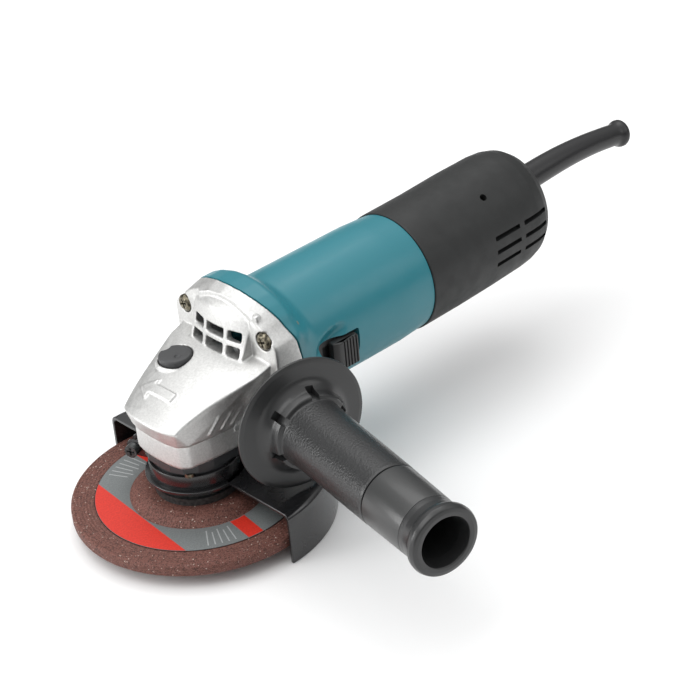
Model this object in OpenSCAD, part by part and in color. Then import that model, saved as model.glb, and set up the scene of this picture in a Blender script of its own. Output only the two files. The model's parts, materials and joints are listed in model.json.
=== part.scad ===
// Small angle grinder with a grinding wheel, half guard and side handle.
// Millimetres. The origin is on the spindle axis, at the wheel's lower working face.
// +X runs from the spindle to the tail, +Z up the spindle, and the side handle points to -Y.

/* [Wheel] */
// Diameter of the grinding wheel
wheel_d = 115; // [100:1:116]
// Thickness of the grinding wheel
wheel_t = 6; // [4:0.5:6.5]
// Bore of the grinding wheel
wheel_bore_d = 22.23; // [22:0.01:22.5]
// How far the wheel's depressed centre is lifted above its working face
hub_lift = 4; // [3:0.5:4]
// Radius of the wheel's flat depressed centre
hub_r = 24; // [23:0.5:25]

/* [Guard] */
// Outer radius of the wheel guard's skirt
guard_r = 61.2; // [60.5:0.1:64]
// Sheet thickness of the wheel guard
guard_t = 1.6; // [1.2:0.1:1.8]
// Height of the guard's lower edge, below the wheel's working face
guard_bottom = -6; // [-8:0.5:-2]
// Height of the guard's top plate
guard_top = 19; // [18.8:0.1:19.4]
// Angle of the guard's clamp ears about the spindle
ear_angle = 110; // [100:1:120]

/* [Head] */
// Height of the motor axis above the wheel's working face
axis_z = 60.5; // [60:0.1:61]
// Height of the underside of the gear housing
head_bottom = 32; // [31.5:0.1:32.5]
// Half width of the square bell that joins the gear housing to the motor housing
bell_half = 30; // [29.5:0.1:31]
// Lowest and highest points of the bell
bell_low = 31.5; // [31:0.1:32]
bell_high = 97.5; // [96:0.1:99]
// Distance of the bell's front face from the spindle axis
bell_front = 25; // [24.5:0.1:26]

/* [Body] */
// Barrel radius at the front
barrel_r = 29.6; // [29:0.1:30]
// Distance of the seam between motor housing and rear cover from the spindle axis
seam_x = 125; // [124:0.5:127]
// Distance of the tail's end from the spindle axis
tail_x = 212; // [210:1:214]
// Wall thickness of the plastic housings
wall_t = 2.3; // [2:0.1:2.4]

/* [Handle] */
// Angle by which the side handle leans forward
handle_sweep = 10.8; // [0:0.1:12]
// Where the handle's axis crosses the middle plane, along X and Z
handle_x = 30.7; // [30:0.1:32]
handle_z = 51.5; // [51:0.1:52]
// Radius of the hand flange
hand_flange_r = 30.8; // [28:0.1:31]
// Distance of the butt's end face from the middle plane, along the handle
butt_s = 160; // [150:1:165]
// Radius of the thread of the handle stud (M8)
stud_r = 4; // [4:0.1:4]

/* [Gears] */
// Teeth of the pinion
pinion_teeth = 10; // [10:1:10]
// Teeth of the bevel gear
gear_teeth = 37; // [37:1:37]
// Outer pitch radius of the bevel gear
gear_pitch_r = 16; // [15.8:0.1:16]

/* [Hidden] */
$fn = 96;
eps = 0.01;
big = 400;

// wheel stack, from the wheel's working face up
wheel_r = wheel_d / 2;
wheel_bore_r = wheel_bore_d / 2;
hub_top = hub_lift + wheel_t;
hub_slope_r = hub_r + 7;
flange_r = 19.3;
flange_top = 15;
thread_r = 7;
nut_r = 20;
nut_bottom = 0.6;
nut_hole_pcd = 30;
nut_hole_r = 2.5;
label_in_r = 31;
label_out_r = 46.6;
label_t = 0.25;

// bearing box and what turns in it
lip_r = 19.5;
lip_bottom = 15.3;
band_bottom = guard_top;
band_top = 26;
neck_r = 18.8;
band_gap = 0.08;
band_r = neck_r + band_gap + guard_t;
box_plate_bottom = 28;
box_boss_top = 35;
box_boss_r = 16.4;
spindle_bearing_r = 14;
spindle_bearing_bottom = 20;
spindle_bearing_w = 8;
spindle_seat_r = 6;
spindle_collar_r = 8.3;
spindle_journal_r = 4;
spindle_top = 62;
chamber_r = 16.6;
chamber_eave = 57.3;
chamber_top = 58.3;
bush_r = 5.5;
bush_top = 62.2;
box_screw_xy = [[-13.8, 13.6], [-13.8, -13.6], [17, 17.4], [17, -17.4]];
box_screw_r = 1.3;
box_screw_head_r = 2.3;
box_screw_head_h = 1.7;
box_screw_end = 42;

// shaft lock
lock_angle = 64;
lock_pin_at = 9.4;
lock_pin_r = 2;
lock_button_at = 13.7;
lock_button_r = 7.6;
lock_floor = 62.6;
lock_travel = 2.4;
lock_button_low = lock_floor + lock_travel + 0.2;
lock_button_top = 69;
lock_boss_top = 66.2;
lock_pin_tip = 57.2;
lock_spring_seat = 60.4;
lock_spring_r = 2.6;
lock_wire_r = 0.32;
running_gap = 0.05;

// nose of the gear housing: half outlines at its foot, at the ledge and along the slope's edge
ledge_z = 44;
nose_foot = [[-20.4, 0], [-19.9, 8], [-17.4, 14], [-12, 17.8], [-4.7, 19.7], [9.2, 20.9], [26, 22.6]];
nose_edge = [[-22.6, 0, 53.6], [-22, 8, 53.6], [-17.6, 16.7, 54.6], [0, 23.2, 61.5], [18, 29.6, 67.9], [26, 29.8, 70]];
nose_crown = [[-19, 0, 57], [-16, 0, 58.8], [-2, 0, 65.4], [26, 0, 72.5]];

handle_boss_r = 10.5;
handle_boss_s = 12;
pinion_hole_r = 6.2;
fan_room = 1.5;

// grille hood on the front of the bell
hood_half = 17;
hood_profile = [[15, 60], [17.5, 68.5], [20, 84.5], [22.5, 90], [26, 94.5], [30, 95.8], [30, 60]];
grille_cols = 3;
grille_rows = 2;
grille_w = 30;
grille_bar = 2.2;
grille_z = [70.5, 82.5];

// screws between gear housing and motor housing
head_screw_y = 26.2;
head_screw_z = [80.5, 43.5];
head_screw_r = 2.1;
head_screw_head_r = 3.9;
head_screw_head_h = 2.4;
head_screw_end = 62;

// half outline of the bell: share of its half width, and depth below its highest point
bell_arch = [[0, 0], [0.27, 0.6], [0.47, 2.2], [0.67, 5.2], [0.83, 8.6], [0.945, 12.4], [1, 17.5],
    [1, bell_high - 46], [0.96, bell_high - 40], [0.86, bell_high - 35.4], [0.7, bell_high - 32.4], [0.5, bell_high - bell_low]];

// slanted joint between the gear housing and the motor housing
joint_x = 31;
joint_slope = 15;

// rotor along the motor axis
shaft_r = 4;
shaft_rear_r = 3.5;
pinion_x = [11.1, 16.2];
pinion_bore_r = 1.9;
front_bearing_x = 27;
front_bearing_w = 7;
front_bearing_r = 11;
rear_bearing_x = 128;
rear_bearing_w = 6;
rear_bearing_r = 9.5;
fan_x = [40, 50];
fan_r = 23.5;
fan_blades = 12;
core_x = [62, 100];
core_r = 15.6;
commutator_x = [110, 122];
commutator_r = 10.5;
brush_x = 116;
brush_w = 6;
brush_t = 8;
field_r = barrel_r - wall_t;
field_flat = 23.4;
field_bore_r = 16.2;
fan_guide_x = 53;

// rear cover
cover_step = 0.7;
cover_r = barrel_r - 0.9 + cover_step;
cover_tail_r = 26.8;
cord_z = 70.5;
cord_r = 5.6;
guard_end_r = 6.8;

cover_screw_x = 170.7;
cover_screw_s = 27.3;
cover_screw_tilt = 34;
cover_screw_r = 1.6;
vent_x = 167;
vent_len = 16.8;
vent_w = 2.2;
vent_lift = 1.6;
vent_pitch_x = 20;
vent_pitch_z = 6.8;
power_switch_x = 160;
power_switch_len = 26;
shelf_z = 51.5;
shelf_t = 2;
cord_clamp_x = [190, 198];
cord_clamp_z = [65.1, 68.5];
clamp_screw_y = 8;
clamp_screw_r = 1.6;
clamp_screw_len = 4;

// slide switch on the barrel's side
switch_x = [60, 74];
switch_z = 56.5;
switch_h = 14.5;
switch_travel = 5.5;
switch_stem_x = 63;
switch_stem_w = 8;
rod_end_x = 157;
rod_hook = 4.8;
rod_y = -23.9;
rod_t = 2.2;
rod_h = 6;

// side handle profile, as distances along its axis
handle_seat_s = 32.2;
flange_s = 50.2;
flange_t = 2.2;
sleeve_s = [121, 147];
grip_r = 14.6;
butt_r = 15.9;
sleeve_drop = 0.5;
butt_bore_r = 11.1;
butt_bore_depth = 48;
stud_depth = 14;

// ---------- placing ----------

// turns +Z to +X, on the motor axis
module on_motor_axis(x = 0) {
    translate([x, 0, axis_z]) rotate([0, 90, 0]) children();
}

// extrudes an outline drawn in Y and Z along X
module along_x(x0, x1) {
    translate([x0, 0, 0]) rotate([90, 0, 90]) linear_extrude(x1 - x0) children();
}

// turns +Z to the side handle's outward direction; side = 1 is the handle's side
module on_handle_axis(side = 1) {
    mirror([0, side > 0 ? 0 : 1, 0])
        translate([handle_x, 0, handle_z]) rotate([0, 0, -handle_sweep]) rotate([90, 0, 0]) children();
}

module at_lock(radius) {
    rotate([0, 0, lock_angle]) translate([radius, 0, 0]) children();
}

module ring(r_out, r_in, z0, z1) {
    translate([0, 0, z0]) difference() {
        cylinder(r = r_out, h = z1 - z0);
        translate([0, 0, -1]) cylinder(r = r_in, h = z1 - z0 + 2);
    }
}

// ---------- outlines ----------

function mirrored(half) =
    concat(half, [for (i = [len(half) - 1:-1:0]) if (half[i][1] > eps) [half[i][0], -half[i][1]]]);

module nose_outline(inset = 0, rear = 26) {
    polygon(mirrored([for (p = nose_foot)
        [p[0] < 0 ? p[0] + inset : min(p[0], rear), p[1] > 0 ? p[1] - inset : 0]]));
}

// outline of the bell in Y and Z: upright sides under a flat arch
module bell_outline() {
    polygon(concat([for (p = bell_arch) [p[0] * bell_half, bell_high - p[1]]],
        [for (i = [len(bell_arch) - 1:-1:1]) [-bell_arch[i][0] * bell_half, bell_high - bell_arch[i][1]]]));
}

// everything behind the slanted joint between gear housing and motor housing
module behind_joint() {
    translate([joint_x, 0, bell_high]) rotate([0, -joint_slope, 0]) half_space_x();
}

// ---------- gear head ----------

module head_screw_places() {
    for (y = [-head_screw_y, head_screw_y]) for (z = head_screw_z)
        translate([bell_front, y * (z < axis_z ? 0.93 : 1), z]) rotate([0, 90, 0]) children();
}

module gear_housing() {
    color([0.8, 0.8, 0.79]) difference() {
        union() {
            translate([0, 0, head_bottom]) linear_extrude(ledge_z - head_bottom + eps) nose_outline();
            hull() {
                translate([0, 0, ledge_z - 1]) linear_extrude(1) nose_outline();
                for (p = nose_edge) for (s = [-1, 1]) translate([p[0], s * p[1], p[2]]) cube(0.02, center = true);
                for (p = nose_crown) translate(p) cube(0.02, center = true);
            }
            difference() {
                along_x(bell_front, 60) bell_outline();
                behind_joint();
            }
            rotate([90, 0, 0]) translate([0, 0, -hood_half]) linear_extrude(2 * hood_half) polygon(hood_profile);
            at_lock(lock_button_at) translate([0, 0, ledge_z]) cylinder(r = lock_button_r + 1.6, h = lock_boss_top - ledge_z);
            for (side = [-1, 1]) on_handle_axis(side)
                translate([0, 0, handle_boss_s]) cylinder(r = handle_boss_r, h = handle_seat_s - handle_boss_s);
        }
        translate([0, 0, head_bottom - 1]) cylinder(r = chamber_r, h = chamber_eave - head_bottom + 1);
        translate([0, 0, chamber_eave - eps]) cylinder(r1 = chamber_r, r2 = gear_in_r, h = chamber_top - chamber_eave + eps);
        translate([0, 0, chamber_top - 1]) cylinder(r = bush_r, h = bush_top + 1.2 - chamber_top);
        on_motor_axis(pinion_x[0] - 2.5) cylinder(r = pinion_hole_r, h = 30);
        on_motor_axis(front_bearing_x) cylinder(r = front_bearing_r, h = 20);
        on_motor_axis(fan_x[0] - 3) cylinder(r = fan_r + fan_room, h = 30);
        translate([23, -grille_w / 2 - 0.5, grille_z[0] - 4]) cube([20, grille_w + 1, grille_z[1] - grille_z[0] + 5.5]);
        grille_openings();
        head_screw_places() translate([0, 0, -3]) cylinder(r = head_screw_r, h = 40);
        head_screw_places() translate([0, 0, -8]) cylinder(r = head_screw_head_r + 0.3, h = 8);
        for (p = box_screw_xy) translate([p[0], p[1], head_bottom - 1]) cylinder(r = box_screw_r, h = box_screw_end - head_bottom + 1);
        for (side = [-1, 1]) on_handle_axis(side)
            translate([0, 0, handle_seat_s - stud_depth]) cylinder(r = stud_r, h = stud_depth + 5);
        at_lock(lock_pin_at) translate([0, 0, 50]) cylinder(r = lock_pin_r + running_gap, h = 20);
        at_lock(lock_pin_at) translate([0, 0, lock_spring_seat]) cylinder(r = 3.3, h = 10);
        at_lock(lock_button_at) translate([0, 0, lock_floor]) cylinder(r = lock_button_r + 0.35, h = 20);
    }
}

module grille_openings() {
    cell_w = (grille_w - grille_bar * (grille_cols - 1)) / grille_cols;
    cell_h = (grille_z[1] - grille_z[0] - grille_bar * (grille_rows - 1)) / grille_rows;
    for (i = [0:grille_cols - 1]) for (j = [0:grille_rows - 1])
        translate([10, -grille_w / 2 + i * (cell_w + grille_bar), grille_z[0] + j * (cell_h + grille_bar)])
            cube([20, cell_w, cell_h]);
}

module gear_housing_screws() {
    color([0.35, 0.33, 0.28]) head_screw_places() difference() {
        union() {
            translate([0, 0, -head_screw_head_h]) cylinder(r = head_screw_head_r, h = head_screw_head_h);
            cylinder(r = head_screw_r, h = 20);
        }
        for (a = [0, 90]) rotate([0, 0, a]) translate([-2.4, -0.5, -head_screw_head_h - 1]) cube([4.8, 1, 2.2]);
    }
}

module bearing_box() {
    color([0.16, 0.16, 0.17]) difference() {
        union() {
            translate([0, 0, box_plate_bottom]) linear_extrude(head_bottom - box_plate_bottom)
                nose_outline(0.7, 24);
            translate([0, 0, band_bottom - 0.4]) cylinder(r = neck_r, h = box_plate_bottom - band_bottom + 0.5);
            translate([0, 0, lip_bottom]) cylinder(r = lip_r, h = band_bottom - 0.4 - lip_bottom);
            translate([0, 0, head_bottom - 1]) cylinder(r = box_boss_r, h = box_boss_top - head_bottom + 1);
        }
        translate([0, 0, spindle_bearing_bottom]) cylinder(r = spindle_bearing_r, h = 30);
        cylinder(r = spindle_collar_r + 0.3, h = 30);
        for (p = box_screw_xy) translate([p[0], p[1], 0]) cylinder(r = box_screw_r, h = 60);
        for (p = box_screw_xy) translate([p[0], p[1], 0])
            translate([0, 0, box_plate_bottom - box_screw_head_h - 1]) cylinder(r = box_screw_head_r, h = box_screw_head_h + 1);
    }
}

module bearing_box_screws() {
    color([0.6, 0.6, 0.58]) for (p = box_screw_xy) translate([p[0], p[1], box_plate_bottom]) difference() {
        union() {
            translate([0, 0, -box_screw_head_h]) cylinder(r = box_screw_head_r, h = box_screw_head_h);
            cylinder(r = box_screw_r, h = box_screw_end - box_plate_bottom - 1);
        }
        for (a = [0, 90]) rotate([0, 0, a]) translate([-1.5, -0.35, -box_screw_head_h - 1]) cube([3, 0.7, 1.9]);
    }
}

module bearing_retainer() {
    color([0.7, 0.7, 0.72]) ring(spindle_bearing_r, 10.5, spindle_bearing_bottom + spindle_bearing_w, 30);
}

module spindle_bush() {
    color([0.72, 0.55, 0.25]) ring(bush_r, spindle_journal_r + running_gap, chamber_top + 0.2, bush_top);
}

// outer ring, balls and inner ring of a ball bearing that lies along +Z
function ball_r(r_out, r_in) = (r_out - r_in) * 0.27;

module bearing_outer(r_out, r_in, w) {
    pitch = (r_out + r_in) / 2;
    ball = ball_r(r_out, r_in);
    balls = 8;
    rotate_extrude() difference() {
        translate([pitch + ball * 0.72, 0]) square([r_out - pitch - ball * 0.72, w]);
        translate([pitch, w / 2]) circle(r = ball + 0.05);
    }
    for (i = [0:balls - 1]) rotate([0, 0, 360 / balls * i]) translate([pitch, 0, w / 2]) sphere(r = ball);
}

module bearing_inner(r_out, r_in, w) {
    pitch = (r_out + r_in) / 2;
    ball = ball_r(r_out, r_in);
    rotate_extrude() difference() {
        translate([r_in, 0]) square([pitch - ball * 0.72 - r_in, w]);
        translate([pitch, w / 2]) circle(r = ball + 0.05);
    }
}

module spindle_bearing_outer() {
    color([0.75, 0.76, 0.78]) translate([0, 0, spindle_bearing_bottom])
        bearing_outer(spindle_bearing_r, spindle_seat_r, spindle_bearing_w);
}

module spindle_bearing_inner() {
    color([0.75, 0.76, 0.78]) translate([0, 0, spindle_bearing_bottom])
        bearing_inner(spindle_bearing_r, spindle_seat_r, spindle_bearing_w);
}

// ---------- spindle and wheel ----------

module spindle() {
    color([0.6, 0.6, 0.62]) rotate_extrude() polygon([
        [0, nut_bottom + 0.4], [thread_r - 0.8, nut_bottom + 0.4], [thread_r, nut_bottom + 1.2],
        [thread_r, flange_top], [spindle_collar_r, flange_top],
        [spindle_collar_r, spindle_bearing_bottom], [spindle_seat_r, spindle_bearing_bottom],
        [spindle_seat_r, 52], [spindle_journal_r, 52], [spindle_journal_r, spindle_top], [0, spindle_top]]);
}

// outline of evenly spaced sectors, used to cut gear teeth
module sectors(count, r, share, phase) {
    half = 180 / count * share;
    for (i = [0:count - 1]) rotate([0, 0, phase + 360 / count * i])
        polygon([[0, 0], [r, -r * tan(half)], [r, r * tan(half)]]);
}

pinion_pitch_r = gear_pitch_r * pinion_teeth / gear_teeth;
cone_slope = pinion_teeth / gear_teeth;
addendum = 0.6;
dedendum = 0.85;
gear_in_r = 11.9;

// height of the gear's pitch cone at radius r
function pitch_z(r) = axis_z - r * cone_slope;

module bevel_gear() {
    web_top = 52.5;
    color([0.45, 0.45, 0.47]) difference() {
        union() {
            rotate_extrude() polygon([[spindle_seat_r, 43], [9, 43], [10.5, 46], [gear_pitch_r - 1, 48.5],
                [gear_pitch_r, 51.5], [gear_pitch_r, pitch_z(gear_pitch_r) - dedendum],
                [gear_in_r, pitch_z(gear_in_r) - dedendum * gear_in_r / gear_pitch_r], [gear_in_r - 0.4, web_top],
                [spindle_seat_r, web_top - 0.5]]);
            intersection() {
                rotate_extrude() polygon([[gear_in_r, pitch_z(gear_in_r) - 2],
                    [gear_pitch_r, pitch_z(gear_pitch_r) - 2], [gear_pitch_r, pitch_z(gear_pitch_r) + addendum],
                    [gear_in_r, pitch_z(gear_in_r) + addendum * gear_in_r / gear_pitch_r]]);
                linear_extrude(80) sectors(gear_teeth, 30, 0.38, 180 / gear_teeth);
            }
        }
        for (i = [0:3]) rotate([0, 0, lock_angle + 90 * i]) translate([lock_pin_at, 0, 40])
            cylinder(r = lock_pin_r + 0.3, h = 20);
    }
}

module inner_flange() {
    color([0.2, 0.2, 0.2]) difference() {
        union() {
            translate([0, 0, hub_top]) cylinder(r = flange_r, h = 3.4);
            translate([0, 0, hub_top + 3.4 - eps]) cylinder(r = flange_r - 1.6, h = flange_top - hub_top - 3.4 + eps);
            translate([0, 0, hub_top - 2.6]) cylinder(r = wheel_bore_r, h = 3);
        }
        cylinder(r = thread_r, h = 40);
    }
}

module lock_nut() {
    color([0.25, 0.25, 0.26]) difference() {
        union() {
            translate([0, 0, nut_bottom]) cylinder(r = nut_r, h = hub_lift - nut_bottom);
            translate([0, 0, hub_lift - eps]) cylinder(r = wheel_bore_r, h = 2.2);
        }
        translate([0, 0, -10]) cylinder(r = thread_r, h = 40);
        for (a = [0, 90, 180, 270]) rotate([0, 0, a]) translate([nut_hole_pcd / 2, 0, -1])
            cylinder(r = nut_hole_r, h = hub_lift);
    }
}

module grinding_wheel() {
    color([0.4, 0.2, 0.17]) rotate_extrude() polygon([
        [wheel_bore_r, hub_lift], [hub_r, hub_lift], [hub_slope_r, 0], [wheel_r - 0.6, 0], [wheel_r, 0.6],
        [wheel_r, wheel_t - 0.8], [wheel_r - 0.8, wheel_t], [hub_slope_r, wheel_t],
        [hub_r, hub_top], [wheel_bore_r, hub_top]]);
}

module wheel_label() {
    color([0.55, 0.58, 0.58]) ring(label_out_r, label_in_r, wheel_t, wheel_t + label_t);
}

// ---------- guard ----------

module half_space_x() {
    translate([0, -big / 2, -big / 2]) cube([big, big, big]);
}

module at_ears() {
    rotate([0, 0, ear_angle]) children();
}

ear_gap = 3;
ear_len = 13.5;
clamp_r = 29.5;
clamp_z = 22.6;

module wheel_guard() {
    color([0.09, 0.09, 0.1]) difference() {
        union() {
            intersection() {
                union() {
                    ring(guard_r, guard_r - guard_t, guard_bottom, guard_top);
                    ring(guard_r, lip_r + 0.4, guard_top - guard_t, guard_top);
                }
                half_space_x();
            }
            ring(band_r + 2, lip_r + 0.4, guard_top - guard_t, guard_top);
            ring(band_r, neck_r + band_gap, band_bottom - eps, band_top);
            at_ears() for (s = [-1, 1])
                translate([neck_r + 0.8, s * (ear_gap / 2 + guard_t / 2) - guard_t / 2, band_bottom - eps])
                    cube([ear_len, guard_t, band_top - band_bottom + eps]);
        }
        at_ears() translate([10, -ear_gap / 2, band_bottom - 0.2]) cube([40, ear_gap, 20]);
        at_ears() translate([clamp_r, 0, clamp_z]) rotate([90, 0, 0]) translate([0, 0, -10]) cylinder(r = 2, h = 20);
    }
}

module guard_clamp_screw() {
    half = ear_gap / 2 + guard_t;
    color([0.7, 0.7, 0.7]) at_ears() translate([clamp_r, 0, clamp_z]) rotate([90, 0, 0]) difference() {
        union() {
            translate([0, 0, -half - 3.4]) cylinder(r = 3.1, h = 3.4);
            translate([0, 0, -half]) cylinder(r = 2, h = 2 * half + 4.4);
        }
        for (a = [0, 90]) rotate([0, 0, a]) translate([-2, -0.45, -half - 4.4]) cube([4, 0.9, 2.2]);
    }
}

module guard_clamp_nut() {
    half = ear_gap / 2 + guard_t;
    color([0.7, 0.7, 0.7]) at_ears() translate([clamp_r, 0, clamp_z]) rotate([90, 0, 0])
        translate([0, 0, half]) difference() {
            cylinder(r = 3.6, h = 3.2, $fn = 6);
            translate([0, 0, -1]) cylinder(r = 2, h = 6);
        }
}

// ---------- shaft lock ----------

module shaft_lock_button() {
    color([0.25, 0.25, 0.26]) difference() {
        at_lock(lock_button_at) translate([0, 0, lock_button_low]) rotate_extrude() polygon([[0, 0],
            [lock_button_r, 0], [lock_button_r, lock_button_top - lock_button_low - 0.7],
            [lock_button_r - 0.7, lock_button_top - lock_button_low], [0, lock_button_top - lock_button_low]]);
        at_lock(lock_pin_at) translate([0, 0, 40]) cylinder(r = lock_pin_r, h = lock_button_top - 1 - 40);
    }
}

module shaft_lock_pin() {
    color([0.65, 0.65, 0.67]) at_lock(lock_pin_at)
        translate([0, 0, lock_pin_tip]) cylinder(r = lock_pin_r, h = lock_button_top - 1 - lock_pin_tip);
}

module shaft_lock_spring() {
    coils = 3;
    low = lock_spring_seat;
    high = lock_button_low;
    color([0.7, 0.7, 0.72]) at_lock(lock_pin_at) for (i = [0:coils])
        translate([0, 0, low + 0.35 + (high - low - 0.7) / coils * i])
            rotate_extrude() translate([lock_spring_r, 0]) circle(r = lock_wire_r, $fn = 24);
}

// ---------- rotor ----------

module armature_shaft() {
    color([0.62, 0.62, 0.64]) on_motor_axis() rotate_extrude() polygon([
        [0, pinion_x[0] - 0.3], [pinion_bore_r, pinion_x[0] - 0.3], [pinion_bore_r, pinion_x[1] + 5.6],
        [shaft_r, pinion_x[1] + 5.6],
        [shaft_r, rear_bearing_x - 2], [shaft_rear_r, rear_bearing_x - 2],
        [shaft_rear_r, rear_bearing_x + rear_bearing_w + 1], [0, rear_bearing_x + rear_bearing_w + 1]]);
}

module pinion_gear() {
    root = dedendum / pinion_pitch_r;
    tip = addendum / pinion_pitch_r;
    color([0.5, 0.5, 0.52]) on_motor_axis() difference() {
        union() {
            rotate_extrude() polygon([[0, pinion_x[0]], [pinion_x[0] * cone_slope * (1 - root), pinion_x[0]],
                [pinion_x[1] * cone_slope * (1 - root), pinion_x[1]], [4.4, pinion_x[1]],
                [4.4, pinion_x[1] + 5.6], [0, pinion_x[1] + 5.6]]);
            intersection() {
                rotate_extrude() polygon([[0, pinion_x[0]], [pinion_x[0] * cone_slope * (1 + tip), pinion_x[0]],
                    [pinion_x[1] * cone_slope * (1 + tip), pinion_x[1]], [0, pinion_x[1]]]);
                linear_extrude(80) sectors(pinion_teeth, 12, 0.34, 0);
            }
        }
        cylinder(r = pinion_bore_r, h = 60);
    }
}

module armature_core() {
    slots = 12;
    color([0.5, 0.5, 0.52]) on_motor_axis(core_x[0]) difference() {
        cylinder(r = core_r, h = core_x[1] - core_x[0]);
        translate([0, 0, -1]) cylinder(r = shaft_r, h = 60);
        for (i = [0:slots - 1]) rotate([0, 0, 360 / slots * i]) translate([core_r - 1.6, -0.8, -1]) cube([4, 1.6, 60]);
    }
}

module armature_windings() {
    color([0.6, 0.33, 0.15]) on_motor_axis() for (span = [[core_x[0] - 7, core_x[0]], [core_x[1], core_x[1] + 7]])
        ring(core_r - 2.2, shaft_r, span[0], span[1]);
}

module commutator() {
    bars = 24;
    color([0.72, 0.42, 0.2]) on_motor_axis(commutator_x[0]) difference() {
        union() {
            cylinder(r = commutator_r, h = commutator_x[1] - commutator_x[0]);
            cylinder(r = commutator_r + 1, h = 2);
        }
        translate([0, 0, -1]) cylinder(r = shaft_r, h = 60);
        for (i = [0:bars - 1]) rotate([0, 0, 360 / bars * i]) translate([commutator_r - 0.7, -0.2, -1]) cube([4, 0.4, 60]);
    }
}

module cooling_fan() {
    color([0.2, 0.2, 0.22]) on_motor_axis(fan_x[0]) {
        difference() {
            union() {
                translate([0, 0, fan_x[1] - fan_x[0] - 2]) cylinder(r = fan_r, h = 2);
                cylinder(r = 8, h = fan_x[1] - fan_x[0]);
                for (i = [0:fan_blades - 1]) rotate([0, 0, 360 / fan_blades * i])
                    translate([6, -0.7, 1]) cube([fan_r - 6.6, 1.4, fan_x[1] - fan_x[0] - 2]);
            }
            translate([0, 0, -1]) cylinder(r = shaft_r, h = 60);
        }
    }
}

module front_bearing_inner() {
    color([0.75, 0.76, 0.78]) on_motor_axis(front_bearing_x) bearing_inner(front_bearing_r, shaft_r, front_bearing_w);
}

module front_bearing_outer() {
    color([0.75, 0.76, 0.78]) on_motor_axis(front_bearing_x) bearing_outer(front_bearing_r, shaft_r, front_bearing_w);
}

module rear_bearing_inner() {
    color([0.75, 0.76, 0.78]) on_motor_axis(rear_bearing_x) bearing_inner(rear_bearing_r, shaft_rear_r, rear_bearing_w);
}

module rear_bearing_outer() {
    color([0.75, 0.76, 0.78]) on_motor_axis(rear_bearing_x) bearing_outer(rear_bearing_r, shaft_rear_r, rear_bearing_w);
}

// ---------- motor ----------

module fan_guide() {
    color([0.2, 0.2, 0.2]) on_motor_axis(fan_guide_x) difference() {
        cylinder(r = field_r - running_gap, h = 1.6);
        translate([0, 0, -1]) cylinder(r = 15, h = 5);
        translate([-rod_h, -field_r - 5, -1]) cube([2 * rod_h, field_r + 5 - field_flat, 5]);
    }
}

module field_core() {
    color([0.45, 0.45, 0.47]) on_motor_axis(core_x[0]) difference() {
        cylinder(r = field_r - running_gap, h = core_x[1] - core_x[0]);
        translate([0, 0, -1]) cylinder(r = field_bore_r, h = 60);
        for (s = [-1, 1]) translate([-30, s > 0 ? field_flat : -field_flat - 10, -1]) cube([60, 10, 60]);
        for (s = [-1, 1]) rotate([0, 0, s > 0 ? 0 : 180]) translate([0, 16, -1])
            translate([-8, -3, 0]) cube([16, 6, 60]);
    }
}

module field_coils() {
    color([0.62, 0.33, 0.14]) on_motor_axis() for (span = [[core_x[0] - 5.5, core_x[0]], [core_x[1], core_x[1] + 6]])
        for (s = [0, 180]) rotate([0, 0, s]) intersection() {
            ring(field_r - 5, field_bore_r, span[0], span[1]);
            translate([3, -30, 0]) cube([60, 60, 200]);
        }
}

module motor_housing() {
    hump_x = 34;
    neck_x = 47;
    color([0.02, 0.42, 0.45]) difference() {
        union() {
            intersection() {
                hull() {
                    along_x(joint_x - 4, hump_x + 6) bell_outline();
                    along_x(hump_x - 4, hump_x) translate([0, bell_high - 8.2]) circle(r = 8.6, $fn = 32);
                    on_motor_axis(neck_x) cylinder(r = barrel_r, h = 8, $fn = 64);
                }
                behind_joint();
            }
            on_motor_axis() rotate_extrude() polygon([[0, neck_x + 2], [barrel_r, neck_x + 2],
                [barrel_r - 0.9, seam_x], [barrel_r - wall_t - 0.5, seam_x], [barrel_r - wall_t - 0.5, 135], [0, 135]]);
        }
        on_motor_axis(20) cylinder(r = fan_r + fan_room, h = fan_guide_x - 20);
        on_motor_axis(fan_guide_x) cylinder(r = field_r, h = seam_x - 5 - fan_guide_x);
        on_motor_axis(100) cylinder(r = field_r - 2.6, h = 28);
        on_motor_axis(100) cylinder(r = rear_bearing_r, h = 34);
        on_motor_axis(100) cylinder(r = 5, h = 60);
        for (a = [45:90:315]) on_motor_axis(120) rotate([0, 0, a]) translate([17.5, 0, 0]) cylinder(r = 4.5, h = 30);
        head_screw_places() cylinder(r = head_screw_r, h = 32);
        translate([switch_stem_x - switch_travel - 0.6, -40, switch_z - 3.6])
            cube([switch_stem_w + switch_travel + 1.2, 20, 7.2]);
        translate([100, -field_r - 0.5, switch_z + 1.5 - rod_h / 2 - 0.6]) cube([60, rod_t + 3.4, rod_h + 1.2]);
        for (s = [-1, 1]) translate([brush_x - brush_w / 2 - 1.2, -brush_t / 2 - 1.2, s > 0 ? axis_z + 11 : axis_z - 11 - 14])
            cube([brush_w + 2.4, brush_t + 2.4, 14]);
    }
}

module brush_holders() {
    color([0.75, 0.6, 0.3]) for (s = [0, 180]) on_motor_axis(brush_x) rotate([0, 0, s]) difference() {
        translate([11.6, -brush_t / 2 - 1, -brush_w / 2 - 1]) cube([12.4, brush_t + 2, brush_w + 2]);
        translate([10, -brush_t / 2, -brush_w / 2]) cube([13.4, brush_t, brush_w]);
    }
}

module carbon_brushes() {
    color([0.12, 0.12, 0.12]) for (s = [0, 180]) on_motor_axis(brush_x) rotate([0, 0, s])
        translate([commutator_r + 0.05, -brush_t / 2, -brush_w / 2]) cube([8.4, brush_t, brush_w]);
}

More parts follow.
